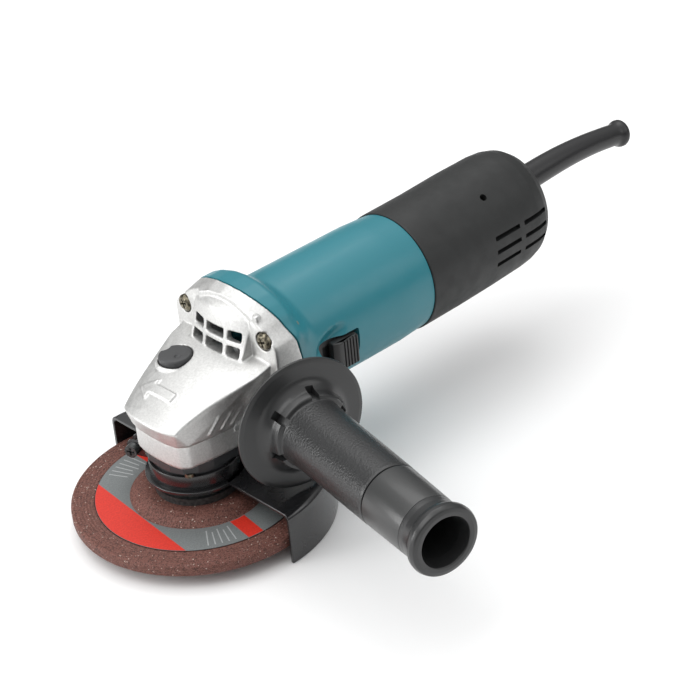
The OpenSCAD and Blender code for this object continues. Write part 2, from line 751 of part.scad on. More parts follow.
module brush_springs() {
    color([0.7, 0.7, 0.72]) for (s = [0, 180]) on_motor_axis(brush_x) rotate([0, 0, s])
        for (i = [0:3]) translate([19.4 + 1.15 * i, 0, 0]) rotate([0, 90, 0])
            rotate_extrude() translate([2, 0]) circle(r = 0.3, $fn = 24);
}

// ---------- rear cover and electrics ----------

module rear_cover() {
    inner_r = barrel_r - wall_t - 0.5 + running_gap;
    color([0.17, 0.17, 0.18]) difference() {
        on_motor_axis() rotate_extrude() polygon([[0, seam_x], [cover_r, seam_x], [cover_tail_r, tail_x - 20],
            [cover_tail_r - 0.9, tail_x - 13], [cover_tail_r - 3.2, tail_x - 6], [cover_tail_r - 6.8, tail_x - 1.6],
            [cover_tail_r - 10, tail_x], [0, tail_x]]);
        difference() {
            on_motor_axis() rotate_extrude() polygon([[0, seam_x - 1], [inner_r, seam_x - 1],
                [inner_r, rod_end_x + 2], [cover_tail_r - 2.4, 186], [cover_tail_r - 4, 200],
                [cover_tail_r - 8, tail_x - 3], [0, tail_x - 3]]);
            translate([power_switch_x, -big / 2, shelf_z - shelf_t]) cube([power_switch_len, big, shelf_t]);
            clamp_screw_places() translate([0, 0, -60]) cylinder(r = 3.2, h = 60);
        }
        clamp_screw_places() translate([0, 0, -clamp_screw_len]) cylinder(r = clamp_screw_r, h = clamp_screw_len + 1);
        translate([tail_x - 10, 0, cord_z]) rotate([0, 90, 0]) cylinder(r = cord_r + 0.9, h = 20);
        vent_slots();
        cover_screw_place() translate([0, 0, cover_screw_s - 6]) cylinder(r = cover_screw_r, h = 10);
    }
}

module vent_slots() {
    for (side = [-1, 1]) for (col = [0:1]) for (row = [-1:1])
        translate([vent_x + col * vent_pitch_x, side * 26, axis_z + vent_lift + row * vent_pitch_z])
            translate([0, -6, -vent_w / 2]) cube([vent_len, 12, vent_w]);
}

// turns +Z outwards at the cover screw, on the near upper side of the rear cover
module cover_screw_place() {
    translate([cover_screw_x, 0, axis_z]) rotate([cover_screw_tilt, 0, 0]) children();
}

module rear_cover_screw() {
    color([0.3, 0.3, 0.3]) cover_screw_place() translate([0, 0, cover_screw_s - 4]) difference() {
        cylinder(r = cover_screw_r, h = 4);
        for (a = [0, 90]) rotate([0, 0, a]) translate([-1.1, -0.25, 3.3]) cube([2.2, 0.5, 2]);
    }
}

module slide_switch() {
    ribs = 6;
    y_out = -barrel_r - 2.3;
    color([0.1, 0.1, 0.1]) difference() {
        union() {
            translate([switch_x[0], y_out, switch_z - switch_h / 2])
                cube([switch_x[1] - switch_x[0], 2, switch_h]);
            translate([switch_stem_x, y_out + 1, switch_z - 3.2]) cube([switch_stem_w, rod_y - rod_t - y_out - 1, 6.4]);
        }
        for (i = [1:ribs]) translate([switch_x[0] + i * 1.8, y_out - 0.5, switch_z - switch_h]) cube([1, 1, 2 * switch_h]);
    }
}

module switch_rod() {
    color([0.2, 0.2, 0.2]) translate([switch_stem_x, rod_y - rod_t, switch_z + 1.5 - rod_h / 2])
        cube([rod_end_x - switch_stem_x, rod_t, rod_h]);
    color([0.2, 0.2, 0.2]) translate([rod_end_x - 2, rod_y - eps, switch_z - 0.5]) cube([2, rod_hook, 4]);
}

module power_switch() {
    color([0.85, 0.83, 0.75]) difference() {
        translate([power_switch_x, -21, shelf_z]) cube([power_switch_len, 32, 17]);
        translate([power_switch_x - 1, -22, axis_z - 4]) cube([5, 12, 9]);
    }
}

module suppressor_capacitor() {
    color([0.85, 0.7, 0.1]) translate([power_switch_x + 1, -9, shelf_z - shelf_t - 9]) cube([24, 18, 9]);
}

module cord_guard() {
    color([0.08, 0.08, 0.08]) difference() {
        union() {
            translate([tail_x - 3.2, 0, cord_z]) rotate([0, 90, 0]) cylinder(r = cord_r + 0.9, h = 3.4);
            translate([tail_x - 7, 0, cord_z]) rotate([0, 90, 0]) cylinder(r = cord_r + 2.6, h = 3.9);
            translate([tail_x, 0, cord_z]) rotate([0, 90, 0]) rotate_extrude() polygon([[0, 0], [7.2, 0], [7.2, 2],
                [6.6, 4], [6.1, 24], [5.5, 52], [5.5, 70], [guard_end_r, 73], [guard_end_r, 75.5], [0, 75.5]]);
        }
        translate([tail_x - 20, 0, cord_z]) rotate([0, 90, 0]) cylinder(r = 3.6, h = 150);
    }
}

// on the clamp's lower face, at the screws
module clamp_screw_places() {
    for (y = [-clamp_screw_y, clamp_screw_y]) translate([(cord_clamp_x[0] + cord_clamp_x[1]) / 2, y, cord_clamp_z[0]]) children();
}

module cord_clamp() {
    color([0.15, 0.15, 0.15]) difference() {
        translate([cord_clamp_x[0], -11, cord_clamp_z[0]])
            cube([cord_clamp_x[1] - cord_clamp_x[0], 22, cord_clamp_z[1] - cord_clamp_z[0]]);
        clamp_screw_places() translate([0, 0, -1]) cylinder(r = clamp_screw_r, h = 10);
    }
}

module cord_clamp_screws() {
    thick = cord_clamp_z[1] - cord_clamp_z[0];
    color([0.7, 0.7, 0.7]) clamp_screw_places() {
        translate([0, 0, 0.5 - clamp_screw_len]) cylinder(r = clamp_screw_r, h = clamp_screw_len + thick - 0.5);
        translate([0, 0, thick]) cylinder(r = clamp_screw_r + 1.2, h = 1.6);
    }
}

// ---------- side handle ----------

module side_handle() {
    color([0.09, 0.09, 0.1]) on_handle_axis() difference() {
        rotate_extrude() polygon([[0, handle_seat_s], [10.4, handle_seat_s], [11.6, 38], [13, flange_s - 2],
            [hand_flange_r - 1, flange_s], [hand_flange_r, flange_s + 1], [hand_flange_r, flange_s + flange_t - 0.6],
            [hand_flange_r - 1, flange_s + flange_t], [19, flange_s + flange_t + 0.8], [16.8, 58],
            [grip_r + 0.6, 66], [grip_r + 0.6, 74], [grip_r, sleeve_s[0]], [grip_r - 1.6, sleeve_s[0]],
            [grip_r - 1.6, sleeve_s[1]], [grip_r - sleeve_drop, sleeve_s[1]],
            [grip_r - 0.7, butt_s - 8], [butt_r - 0.4, butt_s - 4], [butt_r, butt_s - 2.5],
            [butt_r - 0.6, butt_s], [0, butt_s]]);
        translate([0, 0, butt_s - butt_bore_depth]) cylinder(r = butt_bore_r - 0.6, h = butt_bore_depth + 5);
        translate([0, 0, butt_s - 6]) cylinder(r = butt_bore_r, h = 10);
        translate([0, 0, 0]) cylinder(r = stud_r, h = handle_seat_s + 26);
        for (i = [0:5]) rotate([0, 0, 60 * i + 20]) translate([15.8, -1.6, flange_s + flange_t + 0.6]) cube([6, 3.2, 12]);
    }
}

module handle_sleeve() {
    color([0.07, 0.07, 0.08]) on_handle_axis() rotate_extrude() polygon([
        [grip_r - 1.6, sleeve_s[0] + 0.2], [grip_r, sleeve_s[0] + 0.2],
        [grip_r - sleeve_drop, sleeve_s[1]], [grip_r - 1.6, sleeve_s[1]]]);
}

module handle_stud() {
    color([0.72, 0.72, 0.74]) on_handle_axis() translate([0, 0, handle_seat_s - stud_depth + 1.5])
        cylinder(r = stud_r, h = stud_depth + 24.5);
}

gear_housing();
gear_housing_screws();
bearing_box();
bearing_box_screws();
bearing_retainer();
spindle_bearing_outer();
spindle_bearing_inner();
spindle_bush();
spindle();
bevel_gear();
inner_flange();
lock_nut();
grinding_wheel();
wheel_label();
wheel_guard();
guard_clamp_screw();
guard_clamp_nut();
shaft_lock_button();
shaft_lock_pin();
shaft_lock_spring();
armature_shaft();
pinion_gear();
armature_core();
armature_windings();
commutator();
cooling_fan();
front_bearing_inner();
front_bearing_outer();
rear_bearing_inner();
rear_bearing_outer();
fan_guide();
field_core();
field_coils();
motor_housing();
brush_holders();
carbon_brushes();
brush_springs();
rear_cover();
rear_cover_screw();
slide_switch();
switch_rod();
power_switch();
suppressor_capacitor();
cord_guard();
cord_clamp();
cord_clamp_screws();
side_handle();
handle_sleeve();
handle_stud();
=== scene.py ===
import math

import bmesh
import bpy
from mathutils import Matrix, Vector
from mathutils.bvhtree import BVHTree
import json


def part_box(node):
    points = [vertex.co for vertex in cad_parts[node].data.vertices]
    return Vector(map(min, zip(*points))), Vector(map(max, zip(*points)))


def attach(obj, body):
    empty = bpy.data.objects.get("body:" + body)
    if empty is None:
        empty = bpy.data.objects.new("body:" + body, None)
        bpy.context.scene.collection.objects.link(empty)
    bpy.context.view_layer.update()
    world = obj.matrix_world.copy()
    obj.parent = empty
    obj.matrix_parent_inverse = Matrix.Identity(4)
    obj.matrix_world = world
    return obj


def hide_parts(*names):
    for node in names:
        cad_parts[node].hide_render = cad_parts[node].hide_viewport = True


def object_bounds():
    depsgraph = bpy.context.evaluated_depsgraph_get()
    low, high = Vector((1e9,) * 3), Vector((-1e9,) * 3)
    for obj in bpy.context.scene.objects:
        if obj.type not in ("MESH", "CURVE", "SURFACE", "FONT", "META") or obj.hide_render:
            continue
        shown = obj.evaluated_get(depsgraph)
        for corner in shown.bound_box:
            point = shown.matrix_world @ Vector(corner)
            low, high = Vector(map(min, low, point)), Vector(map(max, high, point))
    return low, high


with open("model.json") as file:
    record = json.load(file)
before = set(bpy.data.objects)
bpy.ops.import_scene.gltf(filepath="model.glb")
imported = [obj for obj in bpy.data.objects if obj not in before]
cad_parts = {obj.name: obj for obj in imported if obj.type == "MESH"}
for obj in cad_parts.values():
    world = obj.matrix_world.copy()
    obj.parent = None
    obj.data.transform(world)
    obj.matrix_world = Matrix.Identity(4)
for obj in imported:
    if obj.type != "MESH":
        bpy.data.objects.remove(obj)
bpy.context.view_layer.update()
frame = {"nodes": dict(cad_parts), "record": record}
nodes = frame["nodes"]
MM = 0.001


# ---------- materials ----------

def shader(name, base, rough, metal=0.0, coat=0.0, spec=0.5):
    mat = bpy.data.materials.new(name)
    mat.use_nodes = True
    bsdf = mat.node_tree.nodes["Principled BSDF"]
    bsdf.inputs["Base Color"].default_value = (*base, 1)
    bsdf.inputs["Roughness"].default_value = rough
    bsdf.inputs["Metallic"].default_value = metal
    bsdf.inputs["Coat Weight"].default_value = coat
    bsdf.inputs["Coat Roughness"].default_value = 0.15
    bsdf.inputs["Specular IOR Level"].default_value = spec
    return mat


def node(mat, kind, **values):
    n = mat.node_tree.nodes.new(kind)
    for key, value in values.items():
        n.inputs[key].default_value = value
    return n


def grain(mat, size, depth, detail=2.0, stretch=None):
    """Fine bumps of about that size and depth, in millimetres, in the object's own space."""
    tree = mat.node_tree
    bsdf = tree.nodes["Principled BSDF"]
    place = tree.nodes.new("ShaderNodeTexCoord")
    noise = node(mat, "ShaderNodeTexNoise", Scale=1.0 / (size * MM), Detail=detail)
    bump = node(mat, "ShaderNodeBump", Strength=1.0, Distance=depth * MM)
    if stretch:
        mapping = node(mat, "ShaderNodeMapping", Scale=stretch)
        tree.links.new(place.outputs["Object"], mapping.inputs["Vector"])
        tree.links.new(mapping.outputs["Vector"], noise.inputs["Vector"])
    else:
        tree.links.new(place.outputs["Object"], noise.inputs["Vector"])
    tree.links.new(noise.outputs["Fac"], bump.inputs["Height"])
    tree.links.new(bump.outputs["Normal"], bsdf.inputs["Normal"])
    return mat


def mottle(mat, size, dark, light, low=0.35, high=0.65, detail=3.0, into="Base Color"):
    """Two colours (or roughness values) mixed by a soft noise of that size in millimetres."""
    tree = mat.node_tree
    bsdf = tree.nodes["Principled BSDF"]
    place = tree.nodes.new("ShaderNodeTexCoord")
    noise = node(mat, "ShaderNodeTexNoise", Scale=1.0 / (size * MM), Detail=detail)
    ramp = tree.nodes.new("ShaderNodeValToRGB")
    ramp.color_ramp.elements[0].position = low
    ramp.color_ramp.elements[1].position = high
    ramp.color_ramp.elements[0].color = (*dark, 1)
    ramp.color_ramp.elements[1].color = (*light, 1)
    tree.links.new(place.outputs["Object"], noise.inputs["Vector"])
    tree.links.new(noise.outputs["Fac"], ramp.inputs["Fac"])
    tree.links.new(ramp.outputs["Color"], bsdf.inputs[into])
    return mat


cast = shader("cast_aluminium", (0.62, 0.62, 0.61), 0.5, metal=1.0)
mottle(cast, 0.9, (0.57, 0.57, 0.56), (0.66, 0.66, 0.65), detail=4.0)
mottle(cast, 2.2, (0.46,) * 3, (0.56,) * 3, into="Roughness")
grain(cast, 0.5, 0.022, detail=3.0)
screw_mat = grain(shader("screw_steel", (0.30, 0.27, 0.20), 0.35, metal=1.0), 0.6, 0.03)
mottle(screw_mat, 1.2, (0.05, 0.045, 0.035), (0.30, 0.27, 0.20))
black_metal = grain(shader("black_metal", (0.030, 0.032, 0.034), 0.34, coat=0.25), 0.4, 0.01)
bright = grain(shader("bright_steel", (0.66, 0.66, 0.67), 0.24, metal=1.0), 0.3, 0.01)
bearing_mat = grain(shader("bearing_steel", (0.74, 0.75, 0.77), 0.12, metal=1.0), 0.3, 0.002)
bronze = shader("bronze", (0.6, 0.42, 0.2), 0.42, metal=1.0)
mottle(bronze, 0.5, (0.45, 0.3, 0.13), (0.66, 0.47, 0.23))
gear_mat = shader("gear_steel", (0.4, 0.4, 0.42), 0.3, metal=1.0)
mottle(gear_mat, 1.5, (0.3, 0.3, 0.31), (0.46, 0.46, 0.48))
black_steel = shader("black_steel", (0.07, 0.075, 0.075), 0.36, metal=0.6)
mottle(black_steel, 1.4, (0.05, 0.055, 0.055), (0.10, 0.105, 0.105))
guard_mat = shader("guard_paint", (0.012, 0.012, 0.013), 0.22, coat=0.5)
mottle(guard_mat, 14.0, (0.18,) * 3, (0.30,) * 3, into="Roughness")
grain(guard_mat, 2.5, 0.012)
button_mat = grain(shader("button_plastic", (0.048, 0.049, 0.051), 0.5), 0.25, 0.02)
lamination = shader("lamination", (0.42, 0.42, 0.44), 0.4, metal=1.0)
grain(lamination, 0.5, 0.05, stretch=(1.0, 0.02, 0.02))
copper_wire = shader("copper_wire", (0.5, 0.2, 0.07), 0.35, coat=0.4)
grain(copper_wire, 0.6, 0.08, stretch=(1.0, 0.2, 0.2))
copper_bar = grain(shader("copper_bar", (0.72, 0.38, 0.18), 0.28, metal=1.0), 0.4, 0.01)
inner_plastic = grain(shader("inner_plastic", (0.045, 0.045, 0.045), 0.5), 0.3, 0.01)
teal = shader("teal_plastic", (0.019, 0.190, 0.235), 0.38, coat=0.10)
mottle(teal, 9.0, (0.33,) * 3, (0.42,) * 3, into="Roughness")
grain(teal, 0.35, 0.012)
brass = grain(shader("brass_sheet", (0.75, 0.56, 0.25), 0.3, metal=1.0), 0.4, 0.01)
carbon = mottle(shader("carbon", (0.03, 0.03, 0.03), 0.6), 0.6, (0.02,) * 3, (0.05,) * 3)
cover_mat = shader("grey_plastic", (0.013, 0.0140, 0.0140), 0.58)
mottle(cover_mat, 9.0, (0.50,) * 3, (0.62,) * 3, into="Roughness")
grain(cover_mat, 0.42, 0.045, detail=1.5)
switch_mat = grain(shader("switch_plastic", (0.022, 0.022, 0.022), 0.42), 0.3, 0.015)
film = grain(shader("film_plastic", (0.6, 0.42, 0.06), 0.3), 0.5, 0.01)
rubber = shader("cord_rubber", (0.012, 0.012, 0.013), 0.36)
grain(rubber, 0.8, 0.02)
handle_mat = shader("handle_plastic", (0.018, 0.0185, 0.019), 0.34, coat=0.15)
grain(handle_mat, 0.6, 0.012)
grip_mat = shader("handle_grip", (0.016, 0.0165, 0.017), 0.36, coat=0.1)
grain(grip_mat, 0.9, 0.22, detail=1.0)
sleeve_mat = grain(shader("sleeve_plastic", (0.030, 0.031, 0.031), 0.34, coat=0.2), 0.5, 0.02)
label_mat = shader("label_paper", (0.15, 0.162, 0.162), 0.62)
mottle(label_mat, 0.7, (0.135, 0.147, 0.147), (0.175, 0.187, 0.187))
grain(label_mat, 0.3, 0.02)
red_mat = shader("label_red", (0.60, 0.022, 0.009), 0.55)
mottle(red_mat, 0.8, (0.54, 0.019, 0.008), (0.66, 0.027, 0.011))
grain(red_mat, 0.3, 0.02)
print_mat = grain(shader("label_print", (0.34, 0.35, 0.35), 0.6), 0.3, 0.01)


def abrasive_material():
    """Each cell of a fine pattern is one grain; a few cells are painted a bright colour that stands in for
    their sparkle, a painted glint.
    """
    mat = shader("abrasive", (0.16, 0.06, 0.045), 0.72)
    tree = mat.node_tree
    bsdf = tree.nodes["Principled BSDF"]
    place = tree.nodes.new("ShaderNodeTexCoord")
    grains_per_metre, pits_per_metre, pit_depth = 2100.0, 1500.0, 0.16
    cells = node(mat, "ShaderNodeTexVoronoi", Scale=grains_per_metre)
    tree.links.new(place.outputs["Object"], cells.inputs["Vector"])
    ramp = tree.nodes.new("ShaderNodeValToRGB")
    ramp.color_ramp.elements[0].position = 0.0
    ramp.color_ramp.elements[0].color = (0.050, 0.018, 0.013, 1)
    ramp.color_ramp.elements[1].position = 0.55
    ramp.color_ramp.elements[1].color = (0.150, 0.054, 0.039, 1)
    grit = ramp.color_ramp.elements.new(0.985)
    grit.color = (0.18, 0.078, 0.062, 1)
    # the last stop makes a few grains light: a painted glint put into their base colour, not a real sparkle of
    # light
    painted_glint = ramp.color_ramp.elements.new(0.997)
    painted_glint.color = (0.50, 0.40, 0.34, 1)
    split = tree.nodes.new("ShaderNodeSeparateColor")
    tree.links.new(cells.outputs["Color"], split.inputs["Color"])
    tree.links.new(split.outputs["Red"], ramp.inputs["Fac"])
    tree.links.new(ramp.outputs["Color"], bsdf.inputs["Base Color"])
    noise = node(mat, "ShaderNodeTexNoise", Scale=pits_per_metre, Detail=3.0)
    tree.links.new(place.outputs["Object"], noise.inputs["Vector"])
    bump = node(mat, "ShaderNodeBump", Strength=1.0, Distance=pit_depth * MM)
    tree.links.new(noise.outputs["Fac"], bump.inputs["Height"])
    tree.links.new(bump.outputs["Normal"], bsdf.inputs["Normal"])
    return mat


abrasive = abrasive_material()

SLOT_MATERIALS = {
    "cast_aluminium": cast, "screw_steel": screw_mat, "black_metal": black_metal, "bright_steel": bright,
    "bearing_steel": bearing_mat, "bronze": bronze, "gear_steel": gear_mat, "black_steel": black_steel,
    "abrasive": abrasive, "label_paper": label_mat, "guard_paint": guard_mat, "button_plastic": button_mat,
    "lamination": lamination, "copper_wire": copper_wire, "copper_bar": copper_bar,
    "inner_plastic": inner_plastic, "teal_plastic": teal, "brass_sheet": brass, "carbon": carbon,
    "grey_plastic": cover_mat, "switch_plastic": switch_mat, "film_plastic": film, "cord_rubber": rubber,
    "handle_plastic": handle_mat, "sleeve_plastic": sleeve_mat,
}
for part in frame["record"]["subparts"]:
    mesh = nodes[part["node"]].data
    mesh.materials.clear()
    mesh.materials.append(SLOT_MATERIALS[part["material_slot"]])


# ---------- mesh building ----------

MIRROR_Y = Matrix.Scale(-1, 4, (0, 1, 0))


def along_x(y=0.0, z=0.0):
    """+Z goes to +X, through that Y and Z."""
    return Matrix.Translation((0, y, z)) @ Matrix.Rotation(math.radians(90), 4, "Y")


def side_on(side):
    """An outline is taken in X and Z, and raised towards +Y (1) or -Y (-1)."""
    return Matrix(((1, 0, 0, 0), (0, 0, side, 0), (0, 1, 0, 0), (0, 0, 0, 1)))


def place_on_handle():
    """+Z goes outwards along the side handle."""
    return (Matrix.Translation((HANDLE_X, 0, HANDLE_Z)) @ Matrix.Rotation(math.radians(-SWEEP), 4, "Z")
            @ Matrix.Rotation(math.radians(90), 4, "X"))


def make(name, bm, mats, smooth_angle=35.0, matrix=None):
    """A mesh in millimetres becomes a piece in metres, smooth except at creases."""
    if matrix is not None:
        bm.transform(matrix)
    bm.transform(Matrix.Scale(MM, 4))
    bmesh.ops.recalc_face_normals(bm, faces=bm.faces[:])
    limit = math.radians(smooth_angle)
    for f in bm.faces:
        f.smooth = True
    for e in bm.edges:
        e.smooth = not (len(e.link_faces) == 2 and e.calc_face_angle(0.0) > limit)
    data = bpy.data.meshes.new(name)
    bm.to_mesh(data)
    bm.free()
    for m in mats if isinstance(mats, (list, tuple)) else [mats]:
        data.materials.append(m)
    obj = bpy.data.objects.new(name, data)
    bpy.context.scene.collection.objects.link(obj)
    return obj


def stands_for(obj, body, slot, *cad):
    """The piece moves with its body and hides the CAD nodes that it stands for; its slot is not used."""
    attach(obj, body)
    if cad:
        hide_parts(*cad)


NEARLY_STRAIGHT = math.radians(88.5)


def rounded(points, radii=1.0, steps=4, closed=True):
    """The outline with its corners turned into small arcs; a point's third number is its own radius."""
    out = []
    n = len(points)
    for i, p in enumerate(points):
        if not closed and i in (0, n - 1):
            out.append((p[0], p[1]))
            continue
        a, c = points[i - 1], points[(i + 1) % n]
        r = p[2] if len(p) > 2 else radii
        v0 = Vector((a[0] - p[0], a[1] - p[1]))
        v1 = Vector((c[0] - p[0], c[1] - p[1]))
        if r <= 0 or v0.length < 1e-6 or v1.length < 1e-6:
            out.append((p[0], p[1]))
            continue
        half = v0.angle(v1) / 2
        if half > NEARLY_STRAIGHT:
            out.append((p[0], p[1]))
            continue
        cut = min(r / math.tan(half), v0.length * 0.49, v1.length * 0.49)
        s = Vector((p[0], p[1])) + v0.normalized() * cut
        e = Vector((p[0], p[1])) + v1.normalized() * cut
        mid = Vector((p[0], p[1]))
        for k in range(steps + 1):
            t = k / steps
            q = s * (1 - t) ** 2 + mid * 2 * t * (1 - t) + e * t ** 2
            out.append((q.x, q.y))
    return out


def circle(r, segments):
    """Points round a circle, from the first axis towards the second."""
    turns = [2 * math.pi * k / segments for k in range(segments)]
    return [(r * math.cos(a), r * math.sin(a)) for a in turns]


def lathe(profile, segments=128, closed=True):
    """Turns an outline of (radius, height) about Z."""
    bm = bmesh.new()
    rings = []
    for r, z in profile:
        if r < 1e-4:
            rings.append([bm.verts.new((0, 0, z))])
        else:
            rings.append([bm.verts.new((x, y, z)) for x, y in circle(r, segments)])
    count = len(rings) if closed else len(rings) - 1
    for i in range(count):
        a, b = rings[i], rings[(i + 1) % len(rings)]
        if len(a) == 1 and len(b) == 1:
            continue
        for k in range(segments):
            k2 = (k + 1) % segments
            if len(a) == 1:
                bm.faces.new((a[0], b[k], b[k2]))
            elif len(b) == 1:
                bm.faces.new((a[k], b[0], a[k2]))
            else:
                bm.faces.new((a[k], b[k], b[k2], a[k2]))
    return bm


def prism(outline, z0, z1, bm=None, matrix=None):
    """An outline in X and Y raised from z0 to z1."""
    bm = bm or bmesh.new()
    low = [bm.verts.new((x, y, z0)) for x, y in outline]
    high = [bm.verts.new((x, y, z1)) for x, y in outline]
    bm.faces.new(list(reversed(low)))
    bm.faces.new(high)
    n = len(outline)
    for i in range(n):
        bm.faces.new((low[i], low[(i + 1) % n], high[(i + 1) % n], high[i]))
    if matrix is not None:
        bmesh.ops.transform(bm, matrix=matrix, verts=low + high)
    return bm


def rectangle(x0, y0, x1, y1):
    return [(x0, y0), (x1, y0), (x1, y1), (x0, y1)]


def block(lo, hi, bm=None):
    return prism(rectangle(lo[0], lo[1], hi[0], hi[1]), lo[2], hi[2], bm)


def rod(r, z0, z1, matrix=None, segments=48):
    return prism(circle(r, segments), z0, z1, matrix=matrix)


def shell(points):
    """The convex solid around some points."""
    bm = bmesh.new()
    verts = [bm.verts.new(p) for p in points]
    made = bmesh.ops.convex_hull(bm, input=verts)
    inside = [g for g in made["geom_interior"] if isinstance(g, bmesh.types.BMVert)]
    bmesh.ops.delete(bm, geom=inside, context="VERTS")
    return bm


def ring_faces(bm, a, b):
    """One band of faces between two equal rings."""
    n = len(a)
    for k in range(n):
        bm.faces.new((a[k], a[(k + 1) % n], b[(k + 1) % n], b[k]))


def close(bm, rings):
    """Skins a stack of equal rings and caps both ends."""
    for a, b in zip(rings, rings[1:]):
        ring_faces(bm, a, b)
    bm.faces.new(list(reversed(rings[0])))
    bm.faces.new(rings[-1])
    return bm


def wrap(bm, rings):
    """Skins a stack of equal rings whose last one joins the first."""
    for a, b in zip(rings, rings[1:] + rings[:1]):
        ring_faces(bm, a, b)
    return bm


def joined(parts):
    """Several bmeshes as one."""
    out = bmesh.new()
    for p in parts:
        data = bpy.data.meshes.new("part")
        bmesh.ops.recalc_face_normals(p, faces=p.faces[:])
        p.to_mesh(data)
        p.free()
        out.from_mesh(data)
        bpy.data.meshes.remove(data)
    return out


def as_object(bm, name="work"):
    bmesh.ops.recalc_face_normals(bm, faces=bm.faces[:])
    data = bpy.data.meshes.new(name)
    bm.to_mesh(data)
    bm.free()
    obj = bpy.data.objects.new(name, data)
    bpy.context.scene.collection.objects.link(obj)
    return obj


def applied(obj):
    """The object's mesh with its modifiers, as a bmesh; the object goes."""
    dg = bpy.context.evaluated_depsgraph_get()
    data = bpy.data.meshes.new_from_object(obj.evaluated_get(dg))
    bm = bmesh.new()
    bm.from_mesh(data)
    bpy.data.meshes.remove(data)
    old = obj.data
    bpy.data.objects.remove(obj)
    bpy.data.meshes.remove(old)
    return bm


def fused(bm, voxel, smooth):
    """Overlapping solids become one skin, with soft edges like a casting."""
    obj = as_object(bm)
    m = obj.modifiers.new("skin", "REMESH")
    m.mode = "VOXEL"
    m.voxel_size = voxel
    m.adaptivity = 0.0
    s = obj.modifiers.new("soft", "SMOOTH")
    s.factor = 0.5
    s.iterations = smooth
    return applied(obj)


def bevelled(obj, width, segments, angle):
    """Small rounded edges wherever the faces turn by more than the angle."""
    b = obj.modifiers.new("edge", "BEVEL")
    b.width = width * MM
    b.segments = segments
    b.limit_method = "ANGLE"
    b.angle_limit = math.radians(angle)


def minus(bm, cutters, solver="EXACT"):
    """The solid without the cutters, each a closed bmesh."""
    obj = as_object(bm)
    tools = [as_object(c, "cutter") for c in cutters]
    for t in tools:
        m = obj.modifiers.new("cut", "BOOLEAN")
        m.operation = "DIFFERENCE"
        m.object = t
        m.solver = solver
    out = applied(obj)
    for t in tools:
        data = t.data
        bpy.data.objects.remove(t)
        bpy.data.meshes.remove(data)
    return out


# ---------- sizes, most of them from the CAD ----------

def mm_box(name):
    lo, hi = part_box(name)
    return lo / MM, hi / MM


AXIS_Z = sum(v.z for v in mm_box("armature_shaft")) / 2
# The side handle leans forwards by this many degrees, from this place on the middle plane
SWEEP = 10.8
HANDLE_X = 30.7
HANDLE_Z = sum(v.z for v in mm_box("handle_stud")) / 2
BELL_HALF = mm_box("gear_housing")[1].y
BELL_LOW = 31.5
BELL_HIGH = mm_box("gear_housing")[1].z
BARREL_R = 29.6
SEAM_X = mm_box("rear_cover")[0].x
TAIL_X = mm_box("rear_cover")[1].x
# The lock button's place: its distance and its direction from the spindle
LOCK_PLACE = Vector((math.cos(math.radians(64)), math.sin(math.radians(64)), 0)) * 13.7


# ---------- gear housing ----------

# One side of the bell's outline, from its top down to its foot: (across, height)
BELL_ARCH = [(0, 97.4), (8, 96.7), (16, 94.5), (22, 91.6), (26.8, 87.8), (29.3, 83.8), (BELL_HALF, 79.0),
             (BELL_HALF, 45.5), (28.8, 40), (25.8, 35.6), (21.2, 32.6), (16, BELL_LOW), (0, BELL_LOW)]
BELL_CORNER = 7.0
BELL_SIDES = 144
BELL_FACE_X = 25.2
# One side of the foot's outline, from its front to its rear: (along, across)
FOOT = [(-20.6, 0), (-20.3, 8), (-18.9, 14.6), (-15.4, 17.9), (-4.7, 19.7), (9.2, 20.9), (26, 22.6)]
FOOT_CORNER = 3.0
REAR_END = 27.0
# The foot's levels and those of the lip over the parting groove: (height, inset)
FOOT_LEVELS = [(31.9, 0.9), (32.3, 0.35), (33.1, 0.1), (43.2, 0.0), (43.7, 0.25)]
LIP_LEVELS = [(43.5, 0.9), (44.2, 0.7), (44.35, -0.9), (45.0, -1.25), (45.6, -1.3), (46.5, -1.0)]
LEDGE_Z = 45.2
LEDGE_INSET = -1.25
# The slope: its height along the middle, and its side edge as (along, across, height)
NOSE_FRONT = -24.4
NOSE_CORNER_Y = 17.6
NOSE_RIDGE = [(NOSE_FRONT, 52.4), (-22.5, 54.2), (-19.5, 56.7), (-16, 58.9), (-12, 61.0), (-8, 62.8),
              (-4, 64.4), (0, 65.8), (5, 67.2), (10, 68.4), (18, 70.0), (27, 71.5)]
NOSE_EDGE = [(-21.4, NOSE_CORNER_Y, 52.2), (-12, 20.2, 56.8), (-6, 21.8, 59.4), (0, 23.2, 61.5),
             (6, 24.9, 63.5), (12, 27.0, 65.4), (18, 29.3, 67.9), (27, 29.6, 70.5)]
# The hood over the grille: (height, front at the middle, how far its edges lean back, half width)
HOOD_LEVELS = [(60.0, 14.0, 0.6, 17.2), (66.5, 16.8, 0.8, 17.4), (68.5, 17.3, 1.0, 17.5),
               (72.0, 18.0, 1.9, 17.7), (76.0, 18.8, 2.9, 17.9), (80.0, 19.6, 3.6, 18.2),
               (84.5, 20.5, 4.1, 18.6), (87.0, 21.1, 4.4, 18.7), (89.0, 22.1, 4.6, 18.0),
               (91.0, 23.7, 4.4, 16.6), (92.6, 25.8, 4.0, 14.6), (93.6, 28.0, 3.4, 12.6),
               (94.0, 30.5, 2.4, 11.0)]
HOOD_BACK = 32.0
# The thin rim over the hood, from its near end to its far end
RIM_PATH = [Vector(p) for p in ((24.8, 14.5, 90.9), (25.3, 8, 93.5), (25.6, 0, 94.7), (25.8, -8, 94.3),
                                (26.2, -15, 92.6), (26.6, -20, 90.5))]
ARROW_PROUD = 1.05
# The four housing screws: (across, height)
SCREW_PLACES = [(y * narrow, z) for z, narrow in ((80.5, 1.0), (43.5, 0.93)) for y in (-26.2, 26.2)]


def smoothstep(a, b, x):
    """Rises softly from 0 at a to 1 at b."""
    t = min(1.0, max(0.0, (x - a) / (b - a)))
    return t * t * (3 - 2 * t)


